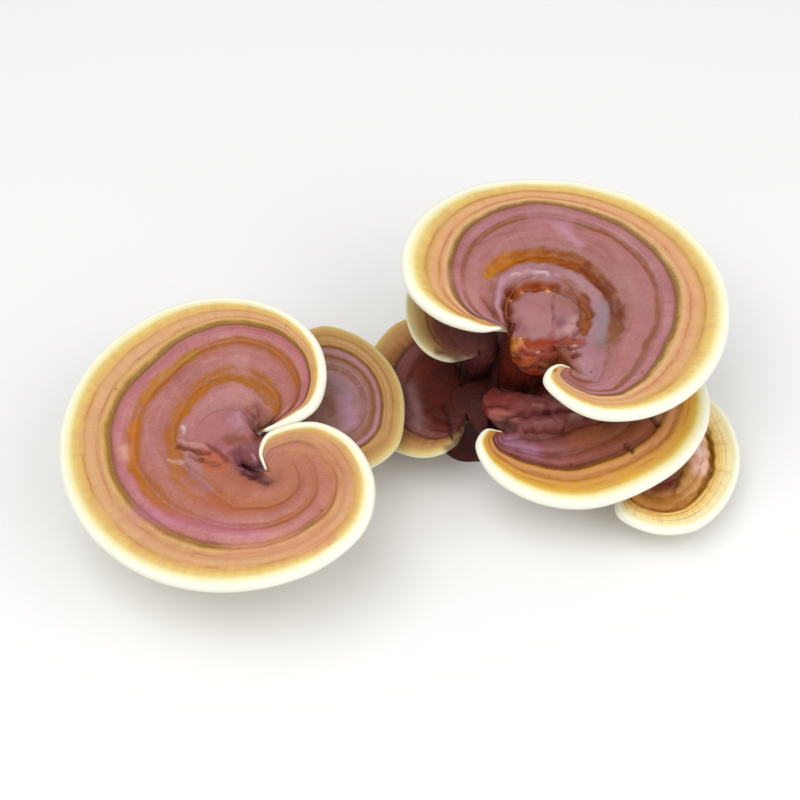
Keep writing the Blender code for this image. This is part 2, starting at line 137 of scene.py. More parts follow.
# %% Outlines
# seat is the middle of the stem's knob, lean the slope of the cap's plane along x and y. arc holds
# the first and last angle of the inner edge, first and last the centre of a lobe that curls, and
# hold the shares of the way round between which the inner edge moves on. depth is the thickness
# below the plane, wave the height, turns and start of the rim's rise and fall, and grid the
# stations round the rim and the points over the top.
CAPS = {
    "cap_left_large": dict(
        seat=(-98.4, -48.6, 47.5), lean=(0.08, 0.10), seat_radius=10, arc=(22, 285),
        last=(16.2, -13.4), hold=(0.10, 0.70), depth=9, wave=(1.5, 1.6, -2.0),
        grid=(560, 104), lip=2.6,
        rim=[(14.2, 3), (19.5, 4.6), (26, 7.2), (31.5, 12), (34.6, 22), (32.2, 36.5), (21.5, 49),
             (3.6, 56.3), (-17.1, 54.9), (-36, 45.2), (-50.2, 30.1), (-58.2, 8), (-56, -15),
             (-45.3, -34), (-27.3, -48.2), (-6.3, -54.7), (18, -53.6), (36, -46.6), (49, -34),
             (51.8, -18), (44, -2), (32, 4.8), (21.5, 4.4), (13.8, 0.8), (11.6, -5.5), (13.8, -11.6)],
        growth=[(0, 0.39, 0.7, 0.88), (0.08, 0.39, 0.7, 0.88), (0.15, 0.37, 0.66, 0.84),
                (0.2, 0.35, 0.63, 0.795), (0.31, 0.23, 0.485, 0.68), (0.42, 0.17, 0.495, 0.67),
                (0.53, 0.195, 0.505, 0.68), (0.64, 0.35, 0.535, 0.705), (0.75, 0.32, 0.515, 0.68),
                (0.84, 0.27, 0.455, 0.66), (1, 0.24, 0.435, 0.62)]),
    "cap_left_back": dict(
        seat=(-65.1, -25.6, 32), lean=(-0.03, 0.05), seat_radius=8, arc=(140, -110),
        hold=(0.05, 0.95), depth=8, wave=(0.8, 1.5, 1.0),
        grid=(320, 84), lip=2.0,
        rim=[(-11.5, 7.6), (-17, 18), (-12, 28), (-2, 34.2), (10, 31.4), (20.8, 22.6), (27.2, 10.6),
             (28.6, -4), (26, -16), (17.1, -24.2), (5, -27), (-3.5, -22), (-4.5, -12)],
        growth=[(0, 0.32, 0.48, 0.68), (0.5, 0.33, 0.51, 0.66), (1, 0.33, 0.51, 0.68)]),
    "cap_middle": dict(
        seat=(-12, -19, 27), lean=(0.25, 0.05), seat_radius=7, arc=(252, 122),
        hold=(0.06, 0.93), depth=7, wave=(0.8, 1.5, 0.0),
        grid=(320, 84), lip=1.8,
        rim=[(-3.2, -12.5), (-6, -17.5), (-11, -20.6), (-18, -21.6), (-28.5, -17.5), (-40, -4),
             (-42, 14), (-36, 29), (-27, 37), (-17, 37.5), (-8, 29.5), (-3.2, 13.5)],
        growth=[(0, 0.28, 0.47, 0.69), (0.5, 0.28, 0.5, 0.69), (1, 0.28, 0.5, 0.69)]),
    "cap_upper_small": dict(
        seat=(-9, -6, 48), lean=(0.15, 0), seat_radius=6, arc=(262, 60),
        hold=(0.04, 0.95), depth=6, wave=(0.6, 1.5, 0.5),
        grid=(260, 70), lip=1.4,
        rim=[(-3.4, -8.3), (-11.5, -9.3), (-18.5, -6), (-24.5, 2), (-27.4, 13.5), (-26.5, 24),
             (-19, 33), (-9, 34), (-1.5, 27), (4.5, 12)],
        growth=[(0, 0.28, 0.47, 0.65), (1, 0.28, 0.47, 0.65)]),
    "cap_top_large": dict(
        seat=(11.4, -11.7, 72), lean=(-0.05, 0.12), seat_radius=13, arc=(205, -78),
        last=(10.8, -22.6), hold=(0.07, 0.83), depth=10, wave=(1.3, 2.0, 2.2),
        grid=(560, 104), lip=2.6,
        rim=[(-15.6, -7.2), (-20.5, -8.2), (-26.5, -7.6), (-36, -4), (-46.5, 6.5), (-49.3, 21),
             (-42.5, 37.5), (-25, 49.8), (-4, 53.2), (18, 51.4), (38, 44.4), (54, 32.4), (64, 15.5),
             (65.2, -1.5), (60, -17.5), (48, -31.5), (32, -39.5), (16, -40), (5, -34),
             (-0.8, -26.5), (1.6, -21.4), (5.4, -19.8), (8.4, -20.6)],
        growth=[(0, 0.175, 0.39, 0.485), (0.07, 0.155, 0.405, 0.515), (0.16, 0.145, 0.445, 0.56),
                (0.25, 0.195, 0.54, 0.68), (0.35, 0.25, 0.64, 0.775), (0.49, 0.27, 0.61, 0.73),
                (0.62, 0.29, 0.58, 0.7), (0.72, 0.31, 0.57, 0.68), (0.84, 0.29, 0.54, 0.64),
                (0.93, 0.27, 0.5, 0.6), (1, 0.24, 0.485, 0.58)]),
    "cap_lower_right": dict(
        seat=(5.8, -29.3, 38), lean=(-0.05, 0.10), seat_radius=8, arc=(255, 395),
        first=(-6.4, -11.4), last=(12, 14.5), hold=(0.12, 0.86), depth=8, wave=(1.0, 2.0, 1.4),
        grid=(420, 92), lip=2.6,
        rim=[(-8.2, -9.4), (-13.4, -8.9), (-17.2, -14.5), (-12.9, -25.7), (1.3, -35.2),
             (21.1, -38.1), (41.4, -31.5), (57.7, -19.5), (66.3, -4), (66.5, 11.2), (58, 26),
             (46, 35), (32, 35), (21, 27)],
        growth=[(0, 0.145, 0.33, 0.485), (0.12, 0.195, 0.37, 0.52), (0.25, 0.21, 0.405, 0.58),
                (0.42, 0.24, 0.465, 0.66), (0.55, 0.29, 0.56, 0.735), (0.7, 0.29, 0.58, 0.775),
                (1, 0.29, 0.58, 0.775)]),
    "cap_small_right": dict(
        seat=(54.5, -39.4, 17), lean=(-0.05, 0.05), seat_radius=6, arc=(222, 460),
        hold=(0.10, 0.90), depth=6, wave=(0.8, 1.5, 0.0),
        grid=(320, 84), lip=2.2,
        rim=[(-8.6, -6.6), (-14.2, -12.6), (-15.4, -21.5), (-4.3, -28.5), (12.3, -27.3),
             (26.3, -13.8), (31.6, 5), (25.5, 23), (13, 31), (2, 27), (-6, 13)],
        growth=[(0, 0.19, 0.43, 0.71), (0.25, 0.19, 0.43, 0.74), (0.5, 0.17, 0.4, 0.61),
                (1, 0.17, 0.4, 0.61)]),
}
CAP_WIDTH_FULL = 24.0
INNER_RISE = 3.0
for name, cap in CAPS.items():
    print(name, "has an outline of", len(cap["rim"]), "points and a lip of", cap["lip"], "mm")

# %% [markdown]
# ## Ridges and furrows
#
# The rings of growth give every cap the same run of ridges and furrows. A row here is a ring
# number, a half width in rings and a height in millimetres, below zero for a furrow. Caps in the
# shade are flatter, and the last lobe of the two large caps is almost smooth.

# %% Ridges and furrows
LARGE_CAPS = ("cap_left_large", "cap_top_large")
WIDE_RELIEF = [(0.0, 0.03, -0.3), (0.12, 0.06, 0.8), (0.25, 0.032, -1.3), (0.38, 0.08, 0.7),
               (0.50, 0.026, -0.9), (0.59, 0.06, 0.6), (0.70, 0.020, -0.8), (0.745, 0.024, 0.5),
               (0.79, 0.012, -0.4), (0.84, 0.028, 0.35), (0.885, 0.014, -0.45), (0.94, 0.02, 0.15)]
LESSER_RELIEF = [(0.0, 0.04, -0.3), (0.13, 0.07, 0.7), (0.25, 0.035, -0.8), (0.40, 0.08, 0.8),
                 (0.52, 0.028, -0.8), (0.61, 0.05, 0.7), (0.70, 0.020, -1.1), (0.75, 0.03, 0.7),
                 (0.81, 0.016, -0.5), (0.86, 0.03, 0.3), (0.91, 0.016, -0.35)]
RELIEF_STRENGTH = {"cap_left_back": 0.7, "cap_middle": 0.45, "cap_upper_small": 0.3}
LAST_LOBE, LOBE_FADE, LOBE_CALM = 0.80, 0.10, 0.85


def bell(value, width):
    """A smooth hump: 1 at 0, falling as e to minus the square of value over width."""
    return np.exp(-(value / width) ** 2)


def ring_relief(name, rings, shares):
    """Sum of one bell for each ridge or furrow, over the ring number, weaker where it is calm."""
    rows = WIDE_RELIEF if name in LARGE_CAPS else LESSER_RELIEF
    relief = sum(height * bell(rings - centre, width) for centre, width, height in rows)
    in_lobe = np.clip((shares - LAST_LOBE) / LOBE_FADE, 0, 1) * (name in LARGE_CAPS)
    return relief * RELIEF_STRENGTH.get(name, 1) * (1 - LOBE_CALM * in_lobe)[:, None]


print("ridges and furrows:", len(WIDE_RELIEF), "on a large cap,", len(LESSER_RELIEF), "on a small one")

# %% [markdown]
# ## Marks
#
# What grew only once is a mark: a soft-edged line on the plane of a cap that can raise or sink the
# crust and stain it. Other marks paint light and shade instead: pale glints and highlights, and dark
# shade in pits, notches and under other caps. Later marks lie over earlier ones. The stems wear the
# marks of their caps, so that a mark can cross from a cap to the crown of its stem. A painted
# picture could hold them too, but a list of lines gives relief and colour at once, and stays sharp
# from close by.
#
# The place is first bent a little by waves, so that no mark has a ruled edge. A mark coloured at
# full strength has a crisp edge, the others fade.

# %% How a mark is read
# A row of MARKS is (x1, y1, x2, y2, half width, height, colour, strength), in millimetres.
MARKS = {}
BEND, BEND_SIZE = 0.55, 2.2
CRISP_FROM, CRISP_RUN = 0.12, 0.5


def linear(hex_colour):
    """Screen colour to light: each channel above 0.04 is raised to the power 2.4."""
    channels = [int(hex_colour[i:i + 2], 16) / 255 for i in (0, 2, 4)]
    return tuple(c / 12.92 if c <= 0.04045 else ((c + 0.055) / 1.055) ** 2.4 for c in channels)


def marks_at(name, x, y):
    """Height and colour of all marks at x, y, stains and painted light and shade alike: a bell over the
    distance to each mark's line.
    """
    bent_x = x + BEND * waves(11, x / BEND_SIZE, y / BEND_SIZE, count=11)
    bent_y = y + BEND * waves(12, x / BEND_SIZE, y / BEND_SIZE, count=11)
    height = np.zeros(x.shape)
    stain_and_painted_light = np.zeros(x.shape + (4,))
    for x1, y1, x2, y2, width, rise, colour, strength in MARKS[name]:
        run_x, run_y = x2 - x1, y2 - y1
        length = max(run_x ** 2 + run_y ** 2, 1e-6)
        part = np.clip(((bent_x - x1) * run_x + (bent_y - y1) * run_y) / length, 0, 1)
        share = bell(np.hypot(bent_x - x1 - part * run_x, bent_y - y1 - part * run_y), width)
        height = height + rise * share
        if strength == 1:
            share = np.clip((share - CRISP_FROM) / CRISP_RUN, 0, 1)
        cover = (strength * share)[..., None]
        stain_and_painted_light = stain_and_painted_light * (1 - cover) + np.array([*linear(colour), 1]) * cover
    stain_and_painted_light[..., :3] /= np.maximum(stain_and_painted_light[..., 3:], 1e-4)
    return height, stain_and_painted_light


print("a mark bends by about", BEND, "mm")

# %% [markdown]
# ## What the left cap shows
#
# Two torn orange furrows run round it. Between its lobes lie a knob, painted lighter where it
# catches the light, and a pit painted dark with its shade; beside them lie a wet orange patch with
# creases, a few pale flakes and a painted glint.

# %% Marks of the left cap
MARKS["cap_left_large"] = [
    # outer orange furrow
    (-11.9, 32.8, -17, 30.1, 1.3, -0.3, "a8741c", 1), (-17, 30.1, -24.7, 22.6, 1.1, -0.3, "ac701a", 1),
    (-24.7, 22.6, -29.2, 14.9, 1.3, -0.3, "b26c14", 1), (-31, 6, -31.6, 3.1, 1.7, -0.3, "b86a12", 1),
    (-31.6, 3.1, -31.7, -9.8, 1.7, -0.4, "ba6812", 1), (-31.7, -9.8, -26.1, -20.3, 1.5, -0.4, "b06614", 1),
    (-26.1, -20.3, -17.6, -26.9, 1.5, -0.4, "ac6414", 1),
    (-17.6, -26.9, -9.4, -32, 1.3, -0.3, "a8621c", 1),
    # inner orange furrow
    (15.3, 12.8, 10.3, 20.3, 1.4, -0.3, "9c5c26", 0.95), (10.3, 20.3, 3, 22.9, 1.5, -0.3, "a4621c", 1),
    (3, 22.9, -4.2, 22.8, 1.5, -0.3, "a66418", 1), (-7.4, 19.8, -14, 11.5, 1.7, -0.4, "ae6410", 1),
    (-14, 11.5, -16.8, 7, 1.8, -0.4, "b06410", 1), (-18, 3, -18.3, 0.4, 1.4, -0.3, "aa6418", 1),
    (-18.5, -4.5, -16.4, -15.6, 1.5, -0.3, "a8642a", 0.95),
    (-16.4, -15.6, -10, -22.4, 1.4, -0.3, "a8622c", 0.9),
    # lobe and margin
    (-14, -26, 26, -24, 14, 0, "b4694c", 0.45), (22, -10, 34, -14, 10, 0, "b26b50", 0.93),
    (22, -5.6, 34.9, -8.3, 1.8, 0, "bc7c50", 0.8), (34.9, -8.3, 39.4, -20, 1.8, 0, "bc7c54", 0.8),
    (39.4, -20, 34, -32, 1.8, 0, "ba7854", 0.75), (17, -14, 22, -17, 4.5, 0, "ae6a4e", 0.88),
    (-30, -27, 14, -37, 3.2, 0, "bb6c8c", 0.5), (4, -42.5, 36, -38, 3.4, 0, "cf8e68", 0.8),
    (-4, -12.5, 8, -19, 5.5, 0, "a45a34", 0.75), (-8, -22, 8, -27, 5, 0, "b0603a", 0.55),
    # knob and pit: the knob's lighter lilac is a painted highlight, and the dark in the pit,
    # in the notch and on the side right of the knob is painted shade
    (4.4, 6.8, 4.8, 5.6, 3.7, 2.2, "b4808e", 0.8), (9.6, 11, 14.6, 6.5, 2.9, -1, "843c22", 0.8),
    (9.2, 7.6, 11, 1.2, 2.2, -1.6, "703828", 0.9), (11.5, 4.4, 16.5, 4.6, 1.8, -0.8, "5e3420", 0.95),
    (4, -5.4, 9, -12, 2.9, -2.4, "6e3640", 0.95), (9, -12, 14.5, -16.4, 2.2, -1.8, "5c2832", 0.95),
    (8.6, -3.4, 11.5, -8, 2.8, 0.8, "7c4650", 0.9), (1, -1, 6, -0.4, 1.8, -1, "84482e", 0.85),
    (9.4, -6.2, 9.8, -6.8, 0.6, 0.5, "c48c98", 0.8),
    # wet patch, its creases and flakes; the pale d8b8b6 mark is a painted glint
    (-1.4, -3.2, 2.6, -3.8, 1.2, 0.8, "a4606c", 0.85), (-6.5, -7, -1.5, -10.5, 3, 0.2, "b65c34", 0.75),
    (-15.5, -0.6, -6, -3.4, 0.9, 0.6, "c08c80", 0.7), (-16, -3.2, -5, -6, 0.8, -1, "74381f", 0.9),
    (-6, -2.6, 1, -8, 0.8, -1, "7c3c2a", 0.85), (-12, -7.4, -2, -10, 0.7, -0.7, "8a4a30", 0.8),
    (-11, -5, -7.6, -9, 0.6, -0.6, "7c4028", 0.8), (-13, -9, -6, -18.5, 2, 0.3, "9c7484", 0.5),
    (-35, -3, -34.6, -6, 1.8, 0.2, "d9a088", 0.7), (-14.9, 4.2, -13.8, 3.2, 0.8, 0.5, "d8b8b6", 0.8),
    (-19, -8, -13.5, -9.4, 0.6, 0.4, "c99c92", 0.6)]
print("marks of the left cap:", len(MARKS["cap_left_large"]))

# %% [markdown]
# ## What the upper right cap shows
#
# A round boss in two halves stands over the stem. A groove and a raised collar run round it, then
# one broad orange furrow. Below the boss the crust is torn open, orange-red and wet. Pale glints on
# the collar, the groove and the wet patch are painted highlights, and a darker patch low on the
# boss is painted shade.

# %% Marks of the upper right cap
MARKS["cap_top_large"] = [
    # old crust and raised collar; the collar's lilac is its own colour, made lighter by a painted
    # highlight along its ridge
    (-24, 14, -19, 6, 5, 0, "ad6f6c", 0.35), (-15.6, -5, -15.5, 4, 2, 0.9, "b27c86", 0.85),
    (-15.5, 4, -14.6, 10.6, 2, 0.9, "b6828e", 0.85), (-13.5, 12.4, -4.6, 14.4, 1.9, 0.8, "b27e88", 0.8),
    (-4.6, 14.4, 5, 13.4, 2, 0.8, "ac7c86", 0.8),
    # orange furrow round the collar
    (-19, 12.4, -18.2, 15, 2, -0.6, "b07410", 1), (-18.2, 15, -14.6, 18, 2.1, -0.8, "b46c08", 1),
    (-14.6, 18, -7.9, 20.4, 2.4, -0.9, "b06404", 1), (-7.9, 20.4, -0.1, 21.2, 2.4, -0.9, "a45a06", 1),
    (-0.1, 21.2, 7.5, 19.6, 2.6, -0.9, "9a5208", 1), (7.5, 19.6, 15, 16.4, 2.5, -0.8, "8e4404", 1),
    (15, 16.4, 20.4, 9.9, 2.3, -0.8, "7e3806", 1), (20.4, 9.9, 25.4, 0.8, 2.2, -0.8, "72300a", 1),
    (25.4, 0.8, 25.6, -5.7, 2, -0.6, "743616", 0.95), (25.6, -5.7, 23.4, -12, 1.6, -0.4, "84502e", 0.8),
    # painted glints: highlights on the collar
    (-3.5, 13.8, 1, 14.2, 0.9, 0.3, "d2b4ba", 0.7), (-10.4, 12.6, -8.8, 13.2, 0.7, 0.3, "d2b0ac", 0.6),
    # groove round the boss
    (-11.8, -6.5, -12.3, 1.5, 1.7, -2, "7a3610", 1), (-12.3, 1.5, -10.2, 6.4, 1.9, -2, "8e4c24", 1),
    (-10.2, 6.4, -4, 9, 1.9, -1.9, "9a4e20", 1), (-4, 9, 3.6, 8.2, 1.8, -1.7, "944418", 1),
    (3.6, 8.2, 10.5, 6, 1.5, -1.1, "8a4e34", 0.9),
    # boss; the darker patch low on its left disc (8c5860) is painted shade, and the pale orange dots
    # that end the group are painted glints on the wet groove
    (-4.6, -1.6, -3.4, -2.4, 5.2, 1.4, "a86e74", 0.9), (3, 5.2, 2.6, 0.5, 0.6, -0.5, "945a5e", 0.75),
    (2.6, 0.5, 3.1, -4, 0.5, -0.6, "8c5056", 0.8), (3.1, -4, 2.6, -10, 0.5, -0.5, "945458", 0.75),
    (8, -1.6, 7.6, -6.4, 3.9, 1.1, "9e686c", 0.9), (5, -5.2, 6, -4.6, 1.7, -0.9, "82505a", 0.85),
    (11, -4.4, 8.8, -8.4, 2.1, 0.4, "bc8c8c", 0.85), (9.6, -5.6, 10, -5.9, 0.4, -0.5, "8e5658", 0.8),
    (10.6, -8, 10.9, -8.2, 0.4, -0.5, "8e5658", 0.8), (13.2, -2.6, 12.6, -6.8, 0.5, -0.8, "74404a", 0.9),
    (12.6, -6.8, 10.2, -10.4, 0.5, -0.7, "7a444a", 0.85), (4.5, 6.9, 9.5, 4.2, 0.5, -0.8, "7c4a4c", 0.9),
    (9.5, 4.2, 13.4, 2, 0.5, -0.8, "7c4a4c", 0.9), (-9.4, -6, -7.4, -8.4, 2.2, -0.3, "8c5860", 0.7),
    (5.6, 3, 10, 0.8, 1.9, 0.2, "96685a", 0.85), (-11.2, 3.9, -11, 3.7, 0.5, 0.7, "d8a070", 0.95),
    (1.2, 7.6, 1.6, 6.9, 0.6, 1, "e0a868", 0.95), (-7.4, 6.9, -7, 6.6, 0.6, 0.9, "d8a070", 0.95),
    # orange ring right of the boss
    (13.6, 4.5, 15.4, -1, 1.9, -1.3, "864014", 1), (15.4, -1, 13.6, -7.5, 2, -1.3, "8c4812", 1),
    # wet orange patch and its creases; its small pale dots are painted glints on the wet crust
    (-11.6, -13, -9.4, -12.6, 2.4, 1.1, "a8640e", 1), (-8.6, -12.8, -6.4, -12.9, 1.5, 1, "c4744a", 0.95),
    (-5.2, -12.2, 12.5, -11.9, 1.7, -1, "943614", 1), (-9, -11.2, -8.8, -11.1, 0.5, 0.7, "f0d4a4", 0.95),
    (-12, -16.4, -4.4, -25.5, 2.6, 0.3, "8a3404", 1), (-8, -17, -2.5, -17, 2.1, 0.4, "94441c", 1),
    (-1, -15.6, 6.5, -15.2, 2.5, 0.4, "823220", 1), (-5, -22.5, 0.8, -22.2, 2.4, 0.2, "8a2804", 1),
    (0.5, -19.2, 8.4, -17, 2.6, 0.2, "7c3c12", 1), (7.2, -13.6, 10.4, -17.6, 2.4, 0.1, "84402e", 0.97),
    (-7.6, -19.6, -2.6, -18.8, 0.7, -1.1, "58160a", 1), (-2.6, -18.8, 1.2, -20.6, 0.7, -1.1, "58160a", 1),
    (-8.4, -14.6, -3, -14.9, 0.6, -0.9, "7a220a", 1), (-3, -14.9, 0.4, -13.6, 0.5, -0.8, "6e1f0e", 0.95),
    (0.6, -17.3, 5.2, -16.6, 0.5, -0.8, "621c0c", 0.95),
    (-2.8, -14.2, -1.4, -14.6, 0.4, 0.7, "d49a84", 0.95),
    (-9.6, -19.8, -5.6, -21.4, 0.5, -0.8, "5e1c08", 1),
    (-11.4, -14.6, -8.6, -16.2, 0.5, -0.7, "6e2408", 1), (-1.8, -16.4, 2, -17.4, 0.4, -0.7, "561a0a", 1),
    (3.4, -13.4, 6.6, -13.9, 0.4, -0.7, "6a2418", 0.95),
    (-6.8, -24.6, -3.2, -23.8, 0.5, 0.6, "b06038", 0.9),
    (-7.4, -26.8, -1.4, -26.6, 1.6, -0.8, "6a2008", 1), (8, -14.6, 12.4, -14, 0.5, -0.9, "5e2016", 0.95),
    (9.4, -18, 12, -17.4, 0.5, -0.9, "5e2016", 0.95), (9.6, -15.8, 9.9, -15.9, 0.5, 0.7, "dcb0a8", 0.9),
    (10.2, -12.8, 10.6, -12.9, 0.4, 0.6, "dcb0a8", 0.85),
    # end of the lobe and broad tints
    (14.6, -14, 15.4, -17, 2.8, 0.5, "a06a72", 0.8), (19.3, -15.5, 17.6, -27, 2.3, 0.3, "a67078", 0.97),
    (20.8, 1, 19.2, -11, 2.6, 0, "8b7a80", 0.8), (6, 32.5, 13, 26, 2.2, 0.3, "c58fa0", 0.6),
    (-3, 36, 9, 33.5, 2.4, 0, "b97f90", 0.5), (-20.4, 3.5, -15.5, -4.5, 1.3, -1, "85422e", 0.85),
    (-31, 12, -24, 3, 3.2, 0.3, "b87c74", 0.6), (-22, 26, -10, 31, 1.2, -0.4, "96605c", 0.5),
    (28, 14, 33, 2, 4, 0, "a4716e", 0.55)]
print("marks of the upper right cap:", len(MARKS["cap_top_large"]))

# %% [markdown]
# ## What the other caps show
#
# On the lower right cap a folded arm crosses the middle; pink marks on the arm are painted
# highlights, and near-black ones are painted shade under the upper right cap. The small cap at the
# far right has a red heart, a pale scab and a cracked edge. The three caps in the shade have only
# dark and pale tints; on the middle and upper small caps the dark ones are painted shade, which
# reaches over the lip at the lobe tips.

# %% Marks of the other caps
MARKS["cap_lower_right"] = [
    # folded arm; the pink ac6258 is a painted highlight, the near-black 34100f painted shade under
    # the upper right cap
    (-12.5, 3.4, 0, -0.4, 4.4, 1.2, "80342e", 0.95), (0, -0.4, 20, -1.2, 3.8, 1.5, "80403f", 0.9),
    (-17.4, 3.2, -12.2, -4.6, 3, 0.3, "7a2610", 0.95), (-12, -6, -4, -9, 2, 0, "561a10", 0.97),
    (-9.6, -2, -3.4, -5.4, 1.4, 0.7, "ac6258", 0.8), (-12, 1.6, -5.6, -1.2, 0.8, -0.7, "5c1e1a", 0.8),
    (-4.8, 10.4, 5, 8.4, 3.8, -2.6, "34100f", 0.98), (2, 2.4, 8, 1.6, 1.8, 0.4, "8c5054", 0.7),
    (12, 0.4, 18, -0.4, 2.2, 0.4, "86605a", 0.6),
    # creases; the pink b8645e among them is a painted highlight on the arm
    (-9, -5.4, 8, -3.6, 0.8, -0.8, "541e1c", 0.9), (8, -3.6, 22, -2.6, 0.8, -1.1, "4c1a18", 0.9),
    (-1, -7.6, 13, -7, 2.2, 1.2, "86484a", 0.9), (4, -7, 9, -6.8, 1, 0.2, "9a6666", 0.6),
    (0, -10.6, 13.6, -10.2, 0.6, -1, "5c2620", 0.9), (13.6, -10.2, 14.6, -6.4, 0.6, -0.9, "5c2620", 0.85),
    (14.6, -9.8, 27, -6.4, 0.9, -0.8, "622a1c", 0.8), (10.6, -3.6, 12, -6.6, 0.4, 0.3, "9c6a64", 0.6),
    (-12.6, -0.6, -8.4, -4.6, 0.9, 0.7, "b8645e", 0.85), (3.2, -1, 6, -1.2, 0.7, 0.3, "a87470", 0.6),
    # broad tints; the near-black 3a1204 is painted shade under the upper right cap
    (-6, -14.4, 3, -18.4, 3.2, 0.2, "a06c86", 0.85), (9, -14.4, 14, -18.6, 3, 0.4, "86524e", 0.75),
    (20, -13.5, 42, -8, 5, 0, "93502f", 0.85), (31, -4, 42, 3, 5.4, 0.4, "3a1204", 0.95),
    (17.3, -5.2, 18.8, -4.4, 1.5, 0.5, "94786c", 0.8), (49, -4, 51.5, 0.5, 2.4, 0.6, "b9805e", 0.75),
    # cracks near the rim
    (44.6, -3.4, 46.6, -7.2, 0.8, -1.2, "4c2014", 0.95), (35.6, -15.8, 37.4, -18, 0.7, -1, "5e2c16", 0.9)]
MARKS["cap_small_right"] = [
    (-2, -14.5, 4.5, -8.8, 5.2, -0.5, "742818", 0.98), (8.8, -5.5, 5.4, -13.6, 0.8, -0.8, "5a261c", 0.85),
    (14.8, 9, 15.6, -4.6, 3.3, 0.6, "eebca6", 1), (14.6, 5.6, 16.8, 2.2, 1.2, 0.5, "f8dace", 0.9),
    (16.4, -2.4, 15.2, -4.2, 1.1, 0.5, "f8d8ca", 0.9), (13, 0.6, 14.2, -2.2, 1, 0.4, "d89a86", 0.8),
    (11, -4.4, 9.4, -9.5, 1.6, 0.2, "c08c4a", 0.85), (20.2, 12, 20, -5, 0.9, -1.2, "94621a", 0.95),
    (20, -5, 15.4, -12, 0.9, -1, "94621a", 0.95), (15.4, -12, 7, -19.4, 0.9, -1, "8c5a18", 0.9),
    (-8, -17, 8, -15.4, 3.2, 0, "bc7a2c", 0.8), (13.6, -8.5, 10, -13.8, 2.6, 0.3, "d09a5a", 0.85),
    (-3, -20.6, 9, -18.6, 1.8, 0.3, "a8661a", 0.85)]
MARKS["cap_left_back"] = [
    (2.6, -3.6, 0.6, 1.8, 1.7, -0.3, "7c4e38", 0.9), (7, 1.5, 9.4, -6, 3.2, 0.2, "aa7c92", 0.8),
    (-5.4, -2.4, -3.8, -0.4, 2.8, 0, "786658", 0.8), (3, 8.6, 8, 5, 3, 0, "a07888", 0.5)]
# The dark marks of the middle cap are painted shade from the caps above, also over the lip at its lobe
# tips; the mauve 84605f is its own colour.
MARKS["cap_middle"] = [
    (-22, 6, -19.2, -9.6, 3, 0.3, "84605f", 0.8), (-14, 5, -8, -7, 6, 0, "4e180c", 0.9),
    (-5, -9, -2, -14, 3.8, 0, "522824", 0.95), (-9.2, -2, -7.6, -16, 0.9, -0.5, "34130f", 0.85),
    (-5, 8, -4, 27, 5, 0, "44180f", 0.99), (-9, -19.4, -4, -15, 1.6, 0, "6c5036", 0.9)]
# The marks of the upper small cap are painted shade from the upper right cap, also over the lip at a lobe
# tip.
MARKS["cap_upper_small"] = [
    (-13, 4, -9, -4, 6, 0, "5e2c22", 0.75), (-6, 12, -3, -6, 6.5, 0, "6a3a38", 0.9),
    (-14.6, -6.4, -4, -10.5, 1.6, 0, "6a4434", 0.95), (-2, 20, 4, 10, 4, 0, "4a2420", 0.99)]
print("marks:", {name: len(rows) for name, rows in MARKS.items()})

# %% [markdown]
# ## From an outline to a solid cap
#
# Every station round the rim carries one closed section: over the top from the stem to the lip,
# round the lip, back along the pore surface, and up the wall that faces the stem. All sections
# together are a grid of points, which numpy works out in one go. A flat disc pushed up by a texture
# would be simpler, but it would tear where the lobes curl back, and a strip bends with the rim.

# %% Rim, inner edge and shoulder of a cap
ARC_POINTS = 60
LOBE_BODY = 0.45


def inner_edge(cap, shares):
    """Arc round the knob, run on to the centre of a curled lobe, held still at both ends."""
    angles = np.radians(np.linspace(*cap["arc"], ARC_POINTS))
    path = cap["seat_radius"] * np.stack([np.cos(angles), np.sin(angles)], axis=1)
    if "first" in cap:
        path = np.concatenate([[cap["first"]], path])
    if "last" in cap:
        path = np.concatenate([path, [cap["last"]]])
    start, end = cap["hold"]
    return place_along(path, np.clip((shares - start) / (end - start), 0, 1))


def cap_plan(cap):
    """Rim, inner edge and shoulder; the shoulder lies one lip radius inside the rim."""
    shares = np.linspace(0, 1, cap["grid"][0])
    fine_rim = smooth_through(cap["rim"], CURVE_SAMPLES)
    rim = place_along(fine_rim, shares)
    inner = inner_edge(cap, shares)
    tangents = np.gradient(fine_rim, axis=0)
    tangents /= np.linalg.norm(tangents, axis=1)[:, None]
    fine_shares = np.linspace(0, 1, CURVE_SAMPLES)
    along = np.stack([np.interp(shares, fine_shares, column) for column in tangents.T], axis=1)
    inward = np.stack([along[:, 1], -along[:, 0]], axis=1)
    inward *= np.sign(np.sum(inward * (inner - rim)))
    width = np.linalg.norm(rim - inner, axis=1)
    lip = np.minimum(cap["lip"], 0.14 * width + 0.3)
    return shares, rim, inner, rim + inward * lip[:, None], width, lip


def body_share(cap, shares):
    """How thick a cap is at the stem: 1 in the middle, less at the lobes, along half a sine."""
    start, end = cap["hold"]
    moved = np.clip((shares - start) / (end - start), 0, 1)
    return LOBE_BODY + (1 - LOBE_BODY) * np.sin(np.pi * moved) ** 0.5


for name, cap in CAPS.items():
    print(name, "is up to", round(cap_plan(cap)[4].max(), 1), "mm wide from the stem to the rim")

# %% [markdown]
# ## Ring numbers
#
# Each point also gets a ring number: 0 at the stem, 1 where the lip begins and 1.5 at the tip of
# the lip. Relief and colour both read that number, so a furrow and its dark line always agree.

# %% Ring numbers and the parts of a section
RING_MARKS = [0, 0.25, 0.50, 0.70, 1]
NOSE_POINTS = 16
WALL_POINTS = 4


